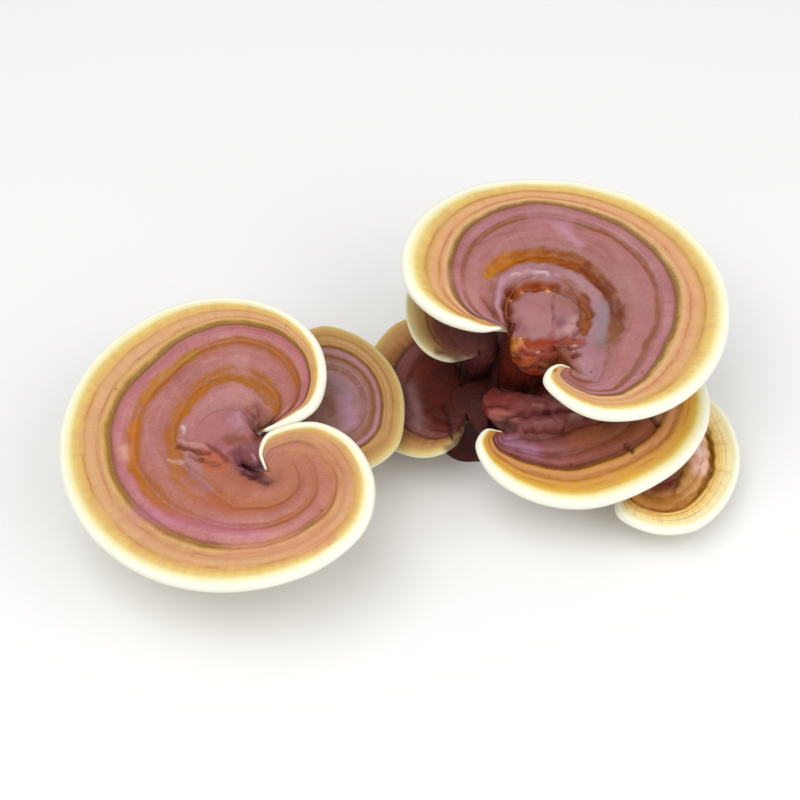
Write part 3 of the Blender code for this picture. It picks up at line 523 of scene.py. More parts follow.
def ring_number(cap, shares, share_out):
    """Linear between the marked rings, whose places out from the stem are given round the cap."""
    table = np.array(cap["growth"])
    marks = [np.interp(shares, table[:, 0], table[:, k]) for k in (1, 2, 3)]
    marks = [np.zeros_like(shares)] + marks + [np.ones_like(shares)]
    rings = np.zeros(np.broadcast(shares[:, None], share_out[None, :]).shape)
    for k in range(4):
        low, high = marks[k][:, None], marks[k + 1][:, None]
        part = np.clip((share_out[None, :] - low) / (high - low), 0, 1)
        rings += part * (RING_MARKS[k + 1] - RING_MARKS[k])
    return rings


def section_parts(top):
    """Along a section: share of the way out, angle of the surface, and which part a point is on."""
    under = top // 4
    share_out = np.concatenate([np.linspace(0, 1, top), np.ones(NOSE_POINTS),
                                np.linspace(1, 0, under), np.zeros(WALL_POINTS)])
    nose_angle = np.linspace(90, -90, NOSE_POINTS + 2)[1:-1]
    angle = np.radians(np.concatenate([np.full(top, 90.0), nose_angle,
                                       np.full(under + WALL_POINTS, -90.0)]))
    place = np.arange(len(share_out))
    wall_start = top + NOSE_POINTS + under
    climb = np.clip(place - wall_start + 1, 0, WALL_POINTS) / (WALL_POINTS + 1)
    is_nose = (place >= top) & (place < top + NOSE_POINTS)
    return share_out, angle, place < top, is_nose, place >= wall_start, climb


print("points in a section of the left cap:", len(section_parts(CAPS["cap_left_large"]["grid"][1])[0]))

# %% [markdown]
# ## The fine surface of a cap
#
# On top of the rings lie a low swelling, dents, and pleats that fan out from the stem. Each is a
# sum of waves over the place on the cap. The height is then measured square to the leaning plane,
# the whole rim rises and falls a little, and the marks are added.

# %% Surface of a cap
SWELLING = 1.3
# Caps whose marks reach the lip and the pore side, so that painted shade covers their lobe tips.
LIPS_IN_PAINTED_SHADE = ("cap_middle", "cap_upper_small")


def crust_relief(name, seed, shares, rings, run, plan, middle):
    """Rings, half a sine over the ring number, and waves: dents, fine dents and pleats."""
    x, y = plan[..., 0], plan[..., 1]
    relief = ring_relief(name, rings, shares)
    relief = relief + SWELLING * np.sin(np.pi * np.clip(rings, 0, 1)) ** 0.8
    dents = 0.35 * waves(seed + 1, x / 9, y / 9, count=9)
    dents = dents + 0.10 * waves(seed + 2, x / 2.6, y / 2.6, count=12)
    fans = np.clip(waves(seed + 3, run / 16, rings * 5) - 0.2, 0, 1)
    pleats = 0.10 * fans * waves(seed + 4, run / 1.1, rings * 2, count=8, finest=1.6)
    return relief + (dents + pleats * (rings < 0.66)) * middle


def cap_surface(name, cap):
    """Grid of points, ring numbers, run along the rim, pore side and the marks' colour, stains and painted
    light and shade, of one cap.
    """
    shares, rim, inner, shoulder, width, lip = cap_plan(cap)
    share_out, angle, is_top, is_nose, is_wall, climb = section_parts(cap["grid"][1])
    seed = sum(map(ord, name))
    body = body_share(cap, shares)[:, None]
    fullness = np.clip(width / CAP_WIDTH_FULL, 0, 1)[:, None]
    amplitude, turns, phase = cap["wave"]
    wave = amplitude * np.sin(2 * np.pi * turns * shares + phase)[:, None] * fullness

    run = np.concatenate([[0], np.cumsum(np.linalg.norm(np.diff(rim, axis=0), axis=1))])[:, None]
    lip = lip[:, None] * (1 + 0.05 * waves(seed + 5, run / 7))
    middle = np.sin(np.pi * share_out) ** 0.5
    wobble = 0.006 * waves(seed, run / 17, share_out[None, :] * 4, count=9)
    rings = ring_number(cap, shares, share_out) + wobble * middle * is_top * fullness
    rings = np.where(is_nose, 1.5 - 0.5 * np.degrees(angle) / 90, rings)

    plan = inner[:, None] + (shoulder - inner)[:, None] * share_out[None, :, None]
    plan = plan + (rim - shoulder)[:, None] * (np.cos(angle) * is_nose)[None, :, None]
    relief = crust_relief(name, seed, shares, rings, run, plan, middle)
    mark_height, stain_and_painted_light = marks_at(name, plan[..., 0], plan[..., 1])
    top_level = share_out * lip + (1 - share_out) * INNER_RISE * body
    top_level = top_level + relief * fullness * share_out ** 0.3 + mark_height * (rings < 0.95)
    low_level = -share_out * lip - (1 - share_out) * cap["depth"] * body
    level = np.where(is_top, top_level, np.where(is_nose, lip * np.sin(angle), low_level))
    level = level + is_wall * climb * (INNER_RISE + cap["depth"]) * body + wave * share_out ** 2

    across, away, up = plane_axes(cap["lean"])
    points = np.array(cap["seat"]) + plan[..., :1] * across + plan[..., 1:] * away
    points = points + level[..., None] * up
    pore_side = np.where(is_nose, np.clip(-np.degrees(angle) / 60, 0, 1), ~(is_top | is_wall))
    # Other caps keep their marks off the lip and the pore side.
    if name not in LIPS_IN_PAINTED_SHADE:
        stain_and_painted_light[..., 3] *= (is_top | is_wall) & (rings < 0.97)
    return dict(points=points, rings=rings, run=run + np.zeros(rings.shape),
                pore_side=pore_side + np.zeros(rings.shape), stain_and_painted_light=stain_and_painted_light)


print("sections ready; the widest cap has", CAPS["cap_left_large"]["grid"], "stations and points")

# %% [markdown]
# ## Putting a grid into a mesh
#
# The grid closes on itself round the section. Both ends of the strip are closed with a fan to one
# point, which gives each lobe a rounded tip. A UV map keeps the run along the rim and the ring
# number for the materials, and attributes keep the pore side, the crown of a stem and the marks'
# colours, stains and painted light and shade alike.
# A Subdivision modifier could round a coarser grid, but it would also wash out the furrows.

# %% Mesh from closed sections
SAME_POINT = 1e-6
TIP_REACH = 0.8


def closed_mesh(name, sections, tips, uv, shares, stain_and_painted_light):
    """Quads between neighbouring sections, fans at both ends, stray doubles merged."""
    count, around = sections.shape[:2]
    index = np.arange(count * around).reshape(count, around)
    after = np.roll(index, -1, axis=1)
    quads = np.stack([index[:-1], after[:-1], after[1:], index[1:]], axis=-1).reshape(-1, 4)
    points = np.concatenate([sections.reshape(-1, 3), tips]) * MM
    first = np.stack([after[0], index[0], np.full(around, count * around)], axis=-1)
    last = np.stack([index[-1], after[-1], np.full(around, count * around + 1)], axis=-1)
    mesh = bpy.data.meshes.new(name)
    mesh.from_pydata(points.tolist(), [], quads.tolist() + first.tolist() + last.tolist())

    def with_tips(values):
        """The grid's values, and the mean of each end section for its tip."""
        flat = values.reshape(count, around, -1)
        return np.concatenate([flat.reshape(count * around, -1), flat[[0, -1]].mean(axis=1)])

    corner = np.zeros(len(mesh.loops), dtype=np.int32)
    mesh.loops.foreach_get("vertex_index", corner)
    layer = mesh.uv_layers.new(name="rings")
    layer.data.foreach_set("uv", with_tips(uv)[corner].astype(np.float32).ravel())
    for key, values in shares.items():
        store = mesh.attributes.new(key, "FLOAT", "POINT")
        store.data.foreach_set("value", with_tips(values).astype(np.float32).ravel())
    store = mesh.attributes.new("stain_and_painted_light", "FLOAT_COLOR", "POINT")
    store.data.foreach_set("color", with_tips(stain_and_painted_light).astype(np.float32).ravel())
    tidy = bmesh.new()
    tidy.from_mesh(mesh)
    bmesh.ops.remove_doubles(tidy, verts=tidy.verts, dist=SAME_POINT)
    bmesh.ops.recalc_face_normals(tidy, faces=tidy.faces)
    tidy.to_mesh(mesh)
    tidy.free()
    mesh.polygons.foreach_set("use_smooth", np.ones(len(mesh.polygons), dtype=bool))
    mesh.update()
    return mesh


def beyond(section, inside):
    """Tip of a lobe: a little past the middle of its last section."""
    middle = section.mean(axis=0)
    way = middle - inside.mean(axis=0)
    return middle + TIP_REACH * way / np.linalg.norm(way)


def add_piece(name, mesh, material, node):
    """Show a mesh in place of a packed node, riding on the one body."""
    piece = bpy.data.objects.new(name, mesh)
    bpy.context.scene.collection.objects.link(piece)
    piece.data.materials.append(material)
    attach(piece, "root")
    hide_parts(node)
    print(name, "has", len(mesh.polygons), "faces")


print("a lobe ends", TIP_REACH, "mm past its last section")

# %% [markdown]
# ## Small tools for materials
#
# A material is a chain of nodes. These helpers keep a chain readable: each adds one node and
# returns its output, and a number or an output can be given for any input. The chain also carries
# the colour so far, and each call of paint lays one more tint over it.

# %% Node helpers
class Chain:
    """One material's node tree, with a short call for each kind of node."""

    def __init__(self, name):
        self.material = bpy.data.materials.new(name)
        self.material.use_nodes = True
        self.tree = self.material.node_tree
        self.shader = self.tree.nodes["Principled BSDF"]
        self.place = self.node("ShaderNodeTexCoord", output=3)

    def node(self, kind, inputs=(), output=0, **settings):
        """Any node: its settings, its inputs by name or number, and the output wanted."""
        made = self.tree.nodes.new(kind)
        for key, value in settings.items():
            setattr(made, key, value)
        for socket, value in dict(inputs).items():
            self.feed(made.inputs[socket], value)
        return made.outputs[output]

    def feed(self, socket, value):
        """Link an output, or set a number or colour."""
        if isinstance(value, bpy.types.NodeSocket):
            self.tree.links.new(value, socket)
        else:
            socket.default_value = value

    def math(self, operation, a, b=0.0, c=0.0):
        """One sum, product or comparison."""
        return self.node("ShaderNodeMath", {0: a, 1: b, 2: c}, operation=operation)

    def times(self, *factors):
        """Product of any count of numbers."""
        result = factors[0]
        for factor in factors[1:]:
            result = self.math("MULTIPLY", result, factor)
        return result

    def shift(self, value, noise, amount):
        """value + (noise - half) x amount."""
        return self.math("MULTIPLY_ADD", self.math("SUBTRACT", noise, 0.5), amount, value)

    def spread(self, value, low, high, to_low=0.0, to_high=1.0):
        """Smooth step from to_low at low to to_high at high."""
        return self.node("ShaderNodeMapRange", {"Value": value, "From Min": low, "From Max": high,
                                                "To Min": to_low, "To Max": to_high},
                         interpolation_type="SMOOTHSTEP")

    def hump(self, value, centre, width):
        """1 at the centre, 0 beyond the width on both sides."""
        away = self.math("ABSOLUTE", self.math("SUBTRACT", value, centre))
        return self.spread(away, 0.0, width, 1.0, 0.0)

    def mix(self, share, first, second):
        """Blend of two colours, each an output or a colour in hex."""
        made = self.tree.nodes.new("ShaderNodeMix")
        made.data_type = "RGBA"
        self.feed(made.inputs["Factor"], share)
        for socket, value in ((made.inputs[6], first), (made.inputs[7], second)):
            self.feed(socket, (*linear(value), 1) if isinstance(value, str) else value)
        return made.outputs[2]

    def paint(self, tint, *shares):
        """Lay a tint over the colour so far, as strongly as the product of the shares."""
        self.colour = self.mix(self.times(*shares), self.colour, tint)

    def noise(self, vector, scale, detail=3.0, roughness=0.5):
        """Cloudy noise from 0 to 1."""
        return self.node("ShaderNodeTexNoise", {"Vector": vector, "Scale": scale,
                                                "Detail": detail, "Roughness": roughness})

    def cells(self, scale, output=0):
        """Distance to the nearest of many scattered points, or that point's random colour."""
        return self.node("ShaderNodeTexVoronoi", {"Vector": self.place, "Scale": scale},
                         output=output)

    def ramp(self, value, stops):
        """Colour from a row of (place, colour) stops."""
        made = self.tree.nodes.new("ShaderNodeValToRGB")
        self.feed(made.inputs[0], value)
        elements = made.color_ramp.elements
        while len(elements) < len(stops):
            elements.new(1.0)
        for element, (place, colour) in zip(elements, stops):
            element.position = place
            element.color = (*linear(colour), 1)
        return made.outputs[0]

    def attribute(self, name, output=2):
        """A number or colour that the mesh carries at each point."""
        return self.node("ShaderNodeAttribute", output=output, attribute_name=name)

    def add_grain(self):
        """Two fine noises that every lacquered crust shares."""
        self.small = self.noise(self.place, 380.0, 4.0, 0.65)
        self.fine = self.noise(self.place, 1300.0, 3.0, 0.6)

    def stain_and_painted_light(self):
        """Paint the marks' colours, stains and painted light and shade alike, their edges made ragged by
        the small noise.
        """
        cover = self.times(self.attribute("stain_and_painted_light", 3), self.shift(1.0, self.small, 0.8))
        self.paint(self.attribute("stain_and_painted_light", 0), self.math("MINIMUM", cover, 1.0))

    def finish(self, rough, gloss, grain, depth, strength):
        """Hand colour, roughness, reflection and fine grain (depth in metres) to the shader."""
        bumps = self.node("ShaderNodeBump", {"Height": grain, "Distance": depth,
                                             "Strength": strength})
        for socket, value in (("Base Color", self.colour), ("Roughness", rough), ("Normal", bumps)):
            self.feed(self.shader.inputs[socket], value)
        self.shader.inputs["Specular IOR Level"].default_value = gloss
        return self.material


print("node helpers:", [helper for helper in vars(Chain) if helper[0] != "_"])

# %% [markdown]
# ## The crust of a cap
#
# The colour is a list of rings from the stem to the lip. It is read at the ring number, nudged a
# little by noise so that no ring is a perfect line. Over it lie streaks that run outwards, dusky
# clouds, pale clouds that are painted sheen, and thin laps of growth that follow the rings. A
# photograph could be laid over the cap instead, but it would carry its own light, and nodes give
# each cap a crust of its own.
#
# Then come the orange furrows, which come and go, the dark golden line at the edge of the mauve
# crust, a few specks, and the marks: stains, and painted glints and shade. Below, the pore surface
# is matt and cream.

# %% Layers of the crust
FURROW_RINGS = (0.25, 0.50)
TAN_LINE_RINGS = (0.79, 0.885)


def weathering(chain, furrow, bloom_and_sheen, dusk):
    """Streaks, clouds and laps: each is a noise stepped into a share, then painted; the pale clouds are
    painted sheen.
    """
    ring = chain.ring
    comes = chain.spread(chain.noise(chain.outward, 0.09, 2.0), 0.42, 0.60)
    chain.paint(bloom_and_sheen, chain.in_crust, comes, chain.spread(chain.streak, 0.52, 0.70), 0.36)
    chain.paint(dusk, chain.in_crust, chain.spread(chain.streak, 0.48, 0.30), 0.26)
    cloud = chain.noise(chain.place, 48.0, 3.0)
    chain.paint(bloom_and_sheen, chain.in_crust, chain.spread(cloud, 0.52, 0.68), 0.32)
    chain.paint(dusk, chain.in_crust, chain.spread(cloud, 0.46, 0.32), 0.30)
    laps = chain.node("ShaderNodeCombineXYZ", {0: chain.times(chain.run, 0.035),
                                               1: chain.times(ring, 34.0)})
    lap = chain.noise(laps, 1.0, 3.0, 0.6)
    chain.paint(bloom_and_sheen, chain.on_top, chain.spread(lap, 0.52, 0.70), 0.26)
    lap_line = chain.mix(chain.spread(ring, 0.68, 0.74), furrow, "c18c4e")
    chain.paint(lap_line, chain.on_top, chain.spread(lap, 0.48, 0.30), 0.26)


def ring_lines(chain, nudged, ring_read, furrow, line, widths, vivid):
    """A hump over the ring number for each furrow and line, broken up by noise."""
    for centre, width, strength in zip(FURROW_RINGS, widths, vivid):
        comes = chain.spread(chain.noise(chain.place, 52.0 + 30 * centre, 2.0), 0.34, 0.50)
        torn = chain.spread(chain.small, 0.36, 0.48)
        band = chain.spread(chain.hump(ring_read, centre, width), 0.15, 0.45)
        chain.paint(furrow, band, comes, torn, strength)
    edge = chain.spread(chain.hump(nudged, 0.703, 0.032), 0.1, 0.8)
    chain.paint(line, edge, chain.spread(chain.broad, 0.25, 0.60, 0.35, 0.90))
    shade = chain.times(chain.spread(chain.ring, 0.72, 0.76), chain.on_top)
    mottle = chain.spread(chain.noise(chain.outward, 0.35, 4.0, 0.6), 0.42, 0.66)
    chain.paint("c98e62", shade, mottle, 0.30)
    for centre in TAN_LINE_RINGS:
        thin = chain.hump(ring_read, centre, 0.012)
        chain.paint("b06a24", thin, chain.spread(chain.broad, 0.40, 0.6), 0.6)


def pore_surface(chain, pores, pore_side):
    """Cream, tan in clouds, darker in each pore and near the stem."""
    cream = chain.mix(chain.spread(chain.broad, 0.35, 0.65), "efe6c6", "dcc79a")
    cream = chain.mix(chain.spread(pores, 0.25, 0.05), cream, "b99a6c")
    cream = chain.mix(chain.spread(chain.ring, 0.16, 0.0), cream, "6e4430")
    chain.paint(cream, pore_side, chain.spread(chain.ring, 1.9, 1.0, 0.0, 1.0))


print("furrows at rings", FURROW_RINGS, "and thin lines at rings", TAN_LINE_RINGS)

# %% [markdown]
# ## The whole crust
#
# The crust is a natural lacquer: fairly glossy on the mauve rings, duller on the tan ones, and the
# growing lip is like soft leather. Fine grain from the same noises breaks up the gloss.

# %% Crust material
RING_SCALE = 1.5
SPECK_SCALE = 170.0
PORE_SCALE = 2200.0


def cap_crust(name, colours, furrow, line, bloom_and_sheen, dusk, widths, vivid, matt, gloss):
    """Ring colours at (ring number + noise), then weathering with its painted sheen, lines, specks, pores,
    and the marks' stains and painted light and shade.
    """
    chain = Chain(name)
    chain.add_grain()
    parts = chain.tree.nodes.new("ShaderNodeSeparateXYZ")
    chain.feed(parts.inputs[0], chain.node("ShaderNodeUVMap", uv_map="rings"))
    chain.run, chain.ring = parts.outputs[0], parts.outputs[1]
    ring = chain.ring
    chain.broad = chain.noise(chain.place, 80.0, 2.0)
    chain.outward = chain.node("ShaderNodeCombineXYZ", {0: chain.run, 1: chain.times(ring, 2.5)})
    chain.streak = chain.noise(chain.outward, 0.9, 5.0, 0.68)
    chain.in_crust = chain.times(chain.spread(ring, 0.03, 0.12),
                                 chain.spread(ring, 0.66, 0.72, 1.0, 0.0))
    chain.on_top = chain.spread(ring, 0.93, 0.98, 1.0, 0.0)

    nudged = chain.shift(chain.shift(ring, chain.broad, 0.045), chain.small, 0.026)
    settled = chain.spread(ring, 0.80, 0.97)
    ring_read = chain.node("ShaderNodeMix", {0: settled, 2: nudged, 3: ring})
    chain.colour = chain.ramp(chain.times(ring_read, 1 / RING_SCALE),
                              [(place / RING_SCALE, tint) for place, tint in colours])
    weathering(chain, furrow, bloom_and_sheen, dusk)
    ring_lines(chain, nudged, ring_read, furrow, line, widths, vivid)
    chosen = chain.math("GREATER_THAN", chain.cells(SPECK_SCALE, 1), 0.78)
    speck = chain.times(chain.spread(chain.cells(SPECK_SCALE), 0.04, 0.11, 1.0, 0.0), chosen)
    chain.paint("56261c", speck, chain.spread(ring, 0.85, 0.98, 0.6, 0.0))
    flake = chain.times(chain.spread(chain.fine, 0.66, 0.74), chain.spread(chain.small, 0.52, 0.62))
    chain.paint(bloom_and_sheen, flake, chain.in_crust, 0.5)
    pores = chain.cells(PORE_SCALE)
    pore_side = chain.attribute("pore_side")
    pore_surface(chain, pores, pore_side)
    chain.stain_and_painted_light()

    rough = chain.shift(chain.spread(ring, 0.66, 1.0, matt, 0.55), chain.small, 0.30)
    rough = chain.math("MAXIMUM", rough, chain.times(pore_side, 0.85))
    grain = chain.math("ADD", chain.times(chain.small, 0.7), chain.times(chain.streak, 0.35))
    grain = chain.math("MULTIPLY_ADD", chain.fine, 0.30, grain)
    grain = chain.math("MULTIPLY_ADD", chain.times(speck, chain.in_crust), 1.2, grain)
    grain = chain.times(grain, chain.spread(ring, 0.90, 1.05, 1.0, 0.22))
    grain = chain.math("MULTIPLY_ADD", chain.times(pores, pore_side), 0.5, grain)
    return chain.finish(rough, gloss, grain, 0.0008, 0.6)


print("the lip ends at ring", RING_SCALE)

# %% [markdown]
# ## Ring colours
#
# Each cap has its own list, from the oldest ring at the stem to the growing lip: mauve and
# red-brown crust up to ring 0.69, a dark golden line at 0.70, then tan, gold and cream. The caps
# in the shade of the others are coloured darker and redder, which paints that shade in, and the
# small ones have thin, duller lips.

# %% Colours of the caps
PALE_LIP = [(0.97, "eee0a0"), (0.995, "f6efc6"), (1.08, "fbfae2"), (1.5, "fcfcee")]
DULL_LIP = [(0.99, "c8a25e"), (1.10, "ceb26e"), (1.28, "dccb92"), (1.5, "f0e8c4")]
RING_COLOURS = {
    "cap_left_large": [
        (0, "a76865"), (0.08, "aa6c68"), (0.15, "b07070"), (0.21, "a8644c"), (0.25, "a05c36"),
        (0.30, "a46054"), (0.38, "ad6a66"), (0.46, "a86450"), (0.50, "a25e38"), (0.54, "aa665c"),
        (0.60, "b87074"), (0.66, "b06a6c"), (0.684, "965a44"), (0.70, "8c6420"), (0.725, "b88a3e"),
        (0.75, "d8a866"), (0.80, "d29e70"), (0.86, "d8a670"), (0.91, "dcb25e"), (0.945, "e4c672")]
    + PALE_LIP,
    "cap_top_large": [
        (0, "8e503a"), (0.05, "966058"), (0.10, "a6787e"), (0.18, "a47478"), (0.215, "945c48"),
        (0.238, "8a4408"), (0.258, "8c4608"), (0.28, "9a6058"), (0.38, "a86c6a"), (0.47, "a86c6a"),
        (0.50, "8a583a"), (0.52, "a06664"), (0.60, "ad7074"), (0.66, "a6666c"), (0.685, "88523c"),
        (0.70, "7e5420"), (0.72, "bc9050"), (0.75, "dcae7c"), (0.79, "d29868"), (0.83, "dca674"),
        (0.87, "d0a25c"), (0.91, "dcb664"), (0.945, "e4ca7a")] + PALE_LIP,
    "cap_lower_right": [
        (0, "6a2a26"), (0.12, "84423e"), (0.22, "7a3830"), (0.25, "5a221a"), (0.30, "86463c"),
        (0.42, "8e4e3c"), (0.50, "844030"), (0.60, "90503e"), (0.66, "7c3a2c"), (0.70, "6e3c12"),
        (0.73, "c08434"), (0.78, "d09458"), (0.81, "b07028"), (0.85, "d09640"), (0.90, "d49c32"),
        (0.945, "e0be52")] + PALE_LIP,
    "cap_left_back": [
        (0, "846056"), (0.15, "9e7070"), (0.28, "a27476"), (0.42, "906246"), (0.50, "8a5a36"),
        (0.55, "a4706e"), (0.64, "ae7a80"), (0.69, "8a5c30"), (0.73, "b08446"), (0.80, "be9360"),
        (0.88, "ac8240"), (0.95, "bc9358")] + DULL_LIP,
    # Painted shade: the middle cap's rings are darkened for the shade of the caps above it.
    "cap_middle": [
        (0, "4a160e"), (0.36, "581e0e"), (0.50, "662a1a"), (0.56, "76403c"), (0.66, "7c4c4a"),
        (0.71, "6e402c"), (0.78, "905e34"), (0.86, "a87a4a"), (0.95, "b8905c")] + DULL_LIP,
    # Painted shade: the upper small cap's rings are darkened for the shade of the upper right cap.
    "cap_upper_small": [
        (0, "5c322c"), (0.35, "6c4034"), (0.60, "855632"), (0.72, "8e683a"), (0.85, "a08650"),
        (0.95, "b8a270"), (1.1, "cabf90"), (1.35, "edeaca"), (1.5, "f8f6e0")],
    "cap_small_right": [
        (0, "84321e"), (0.18, "904426"), (0.25, "a46c1e"), (0.40, "c08238"), (0.52, "d69a50"),
        (0.62, "e2aa60"), (0.68, "c88e34"), (0.70, "a06e18"), (0.73, "e4b44c"), (0.80, "f0d07c"),
        (0.88, "f6e29e"), (0.945, "f8ecb8")] + PALE_LIP,
}
# Colours of the furrows, of the line at the edge of the crust, of the pale bloom and painted sheen,
# and of the dusky clouds; half widths of the two furrows; how vivid they are; how matt the crust
# is; its reflection.
CRUST_LINES = {
    "cap_left_large": ("a65e0a", "906822", "c8948e", "84443c", (0.092, 0.066), (0.8, 0.7), 0.28, 0.38),
    "cap_top_large": ("8a4806", "8a6428", "bd8886", "844238", (0.050, 0.038), (1.0, 0.55), 0.28, 0.36),
    "cap_lower_right": ("5e2412", "7a4814", "a8686a", "6c2c22", (0.08, 0.06), (0.6, 0.55), 0.30, 0.22),
    "cap_left_back": ("80502c", "7e5222", "b58e90", "7c5048", (0.09, 0.066), (0.6, 0.55), 0.36, 0.32),
    # The middle and upper small caps' lines, bloom and clouds are darkened too, as painted shade.
    "cap_middle": ("3e1812", "5a3018", "6e3c34", "3e1410", (0.09, 0.066), (0.5, 0.45), 0.50, 0.12),
    "cap_upper_small": ("5a3c20", "6a4c24", "7c5044", "4e2c20", (0.09, 0.066), (0.4, 0.35), 0.55, 0.15),
    "cap_small_right": ("8a5614", "7c4c10", "dca878", "9a6224", (0.07, 0.05), (0.6, 0.55), 0.36, 0.40),
}
print("rings coloured:", {name: len(rings) for name, rings in RING_COLOURS.items()})

# %% [markdown]
# ## Dressing the caps
#
# Each cap's grid becomes a mesh with its own crust. A lobe's tip is a point a little past its last
# section, so that it ends round.

# %% The seven caps
for name, cap in CAPS.items():
    surface = cap_surface(name, cap)
    points = surface["points"]
    tips = np.array([beyond(points[0], points[8]), beyond(points[-1], points[-9])])
    mesh = closed_mesh(name + "_skin", points, tips,
                       np.stack([surface["run"], surface["rings"]], axis=-1),
                       {"pore_side": surface["pore_side"]}, surface["stain_and_painted_light"])
    crust = cap_crust(name + "_crust", RING_COLOURS[name], *CRUST_LINES[name])
    add_piece(name + "_skin", mesh, crust, name)

# %% [markdown]
# ## Stems and their crowns
#
# A stem rises from the foot, passes through the notch of its cap and closes the middle of the cap
# with a crown. A plain cylinder would leave a round gap there. This is a tube carried along a
# smooth path, whose last part stands straight on the cap plane.
#
# A row of "way" is a point of the path and the radius there. "swell" is the range of angles over
# which the stem bulges into the open notch, and by how much.

# %% Stem table
# dome is how far the crown rises, crease how deep its edge lies, and rugged and knots how uneven
# its open side and its top are, all in millimetres.
STEMS = {
    "stem_left_large": dict(
        cap="cap_left_large", dome=0.4, swell=(-86, 44, 5.4), crease=-0.2,
        way=[(-82, -40, 5, 10), (-84, -41, 16, 9.5), (-91, -44.5, 26, 8.8)]),
    "stem_left_back": dict(
        cap="cap_left_back", dome=0.3, swell=(150, 240, 2.0),
        way=[(-62, -26, 4, 8), (-63, -26, 12, 7.4)]),
    "stem_middle": dict(
        cap="cap_middle", dome=0.4, swell=(-106, -40, 5.0),
        way=[(-12.5, -16, 4, 8.4), (-11.5, -18.5, 11, 7.2)]),
    "stem_upper_small": dict(
        cap="cap_upper_small", dome=0.6, swell=(-70, 50, 0.6),
        way=[(-10, 1, 6, 5.4), (-9.8, -1, 18, 5.2), (-9.2, -4, 30, 5)]),
    "stem_top_large": dict(
        cap="cap_top_large", dome=1.2, swell=(-152, -46, 6.4), rugged=0.5,
        way=[(7.5, -6, 6, 10), (7, -9, 24, 9.4), (7.2, -11, 42, 9.4)]),
    "stem_lower_right": dict(
        cap="cap_lower_right", dome=0.3, swell=(80, 215, 6.5), knots=0.35,
        way=[(8, -20, 5, 7.4), (6.5, -25.5, 14, 7.2)]),
    "stem_small_right": dict(
        cap="cap_small_right", dome=0.6, swell=(110, 210, 1.5),
        way=[(24, -16, 6, 5.6), (33, -24, 8.5, 5), (43.5, -33, 8, 5)]),
}
SEAT_CLEARANCE = 0.45
STEM_SIDES = 128
LOWER_RINGS = 44
for name, stem in STEMS.items():
    print(name, "swells by", stem["swell"][2], "mm into the notch of", stem["cap"])

# %% [markdown]
# ## The tube of a stem
#
# The circles across the path must not twist. One side direction is carried along the path and
# made square to it again at every step, and each circle starts from that side.

# %% Tube of a stem
FIRST_SIDE = np.array([0.3, 0.9, 0.1])
SWELL_RINGS = 14
RIB_HEIGHT = 0.22


def carried_circles(path, up):
    """Cosine along the carried side, sine along its cross product with the path's direction."""
    tangents = np.gradient(path, axis=0)
    tangents[-1] = up
    tangents /= np.linalg.norm(tangents, axis=1)[:, None]
    turn = np.linspace(0, 2 * np.pi, STEM_SIDES, endpoint=False)[:, None]
    side, circles = FIRST_SIDE, []
    for tangent in tangents:
        side = side - tangent * side.dot(tangent)
        side = side / np.linalg.norm(side)
        circles.append(np.cos(turn) * side + np.sin(turn) * np.cross(tangent, side))
    return np.stack(circles)


def swell_at(stem, angle):
    """How far a stem bulges at an angle: a power of half a sine over its range, else 0."""
    start, end, extra = stem["swell"]
    window = ((angle - start) % 360) / (end - start)
    return extra * np.where(window < 1, np.sin(np.pi * np.minimum(window, 1)) ** 1.4, 0)


def stem_tube(stem, seed, seat, floor_of_cap, across, away, up):
    """Circles times the radius, which is the path's, plus the swelling, plus ribs of waves."""
    radius = CAPS[stem["cap"]]["seat_radius"] - SEAT_CLEARANCE
    way = list(stem["way"]) + [(*(seat - up * floor_of_cap), radius)]
    path = smooth_through(way, LOWER_RINGS)
    circles = carried_circles(path[:, :3], up)
    angle = np.degrees(np.arctan2(circles @ away, circles @ across))
    height = np.arange(LOWER_RINGS)[:, None]
    rising = np.clip((height - LOWER_RINGS + SWELL_RINGS) / SWELL_RINGS, 0, 1) ** 2
    ribs = RIB_HEIGHT * waves(seed, np.radians(angle) * 3, height / 12, count=9, finest=4)
    tube_radius = path[:, 3:] + swell_at(stem, angle) * rising + ribs
    tube = path[:, None, :3] + circles * tube_radius[..., None]
    return tube, height, circles[-1], angle[-1], radius


print("a tube has", LOWER_RINGS, "rings of", STEM_SIDES, "points")

# %% [markdown]
# ## The wall and the crown of a stem
#
# Over the tube stands a straight wall, then the crown, whose radius falls to nothing along the
# level of the cap. The edge of the crown takes the height of the cap beside it and laps a little
# over it, so that the two meet in a soft crease instead of a round gap. Where the notch is open the
# crown swells outwards, sinks with the swelling, and runs down as a bare, rugged flank.
#
# Both parts wear the marks of the cap. The wall reads them unrolled outwards, as a slanting look
# from above would see it.

# %% Surface of a stem
STRAIGHT_RINGS = 22
CROWN_RINGS = 34
SWELL_DROP = 0.8
WALL_SLANT = 0.62
LAP_WIDTH = 1.3
LAP_SLOPE = 12
CROWN_SINK = 0.9


def edge_level(cap, angle):
    """Height of the cap's inner edge at an angle round the stem, bridged across the notch."""
    shares = np.linspace(*cap["hold"], 80)
    turn = np.linspace(*cap["arc"], 80)
    return np.interp(angle, turn, INNER_RISE * body_share(cap, shares), period=360)


def lap_share(cap, angle):
    """1 where the crown laps over the cap, 0 in the open notch, a short slope between."""
    start, end = cap["arc"]
    covered = ((angle - start) * np.sign(end - start)) % 360
    span = abs(end - start)
    return np.clip(np.minimum(covered, span - covered) / LAP_SLOPE, 0, 1) * (covered < span)


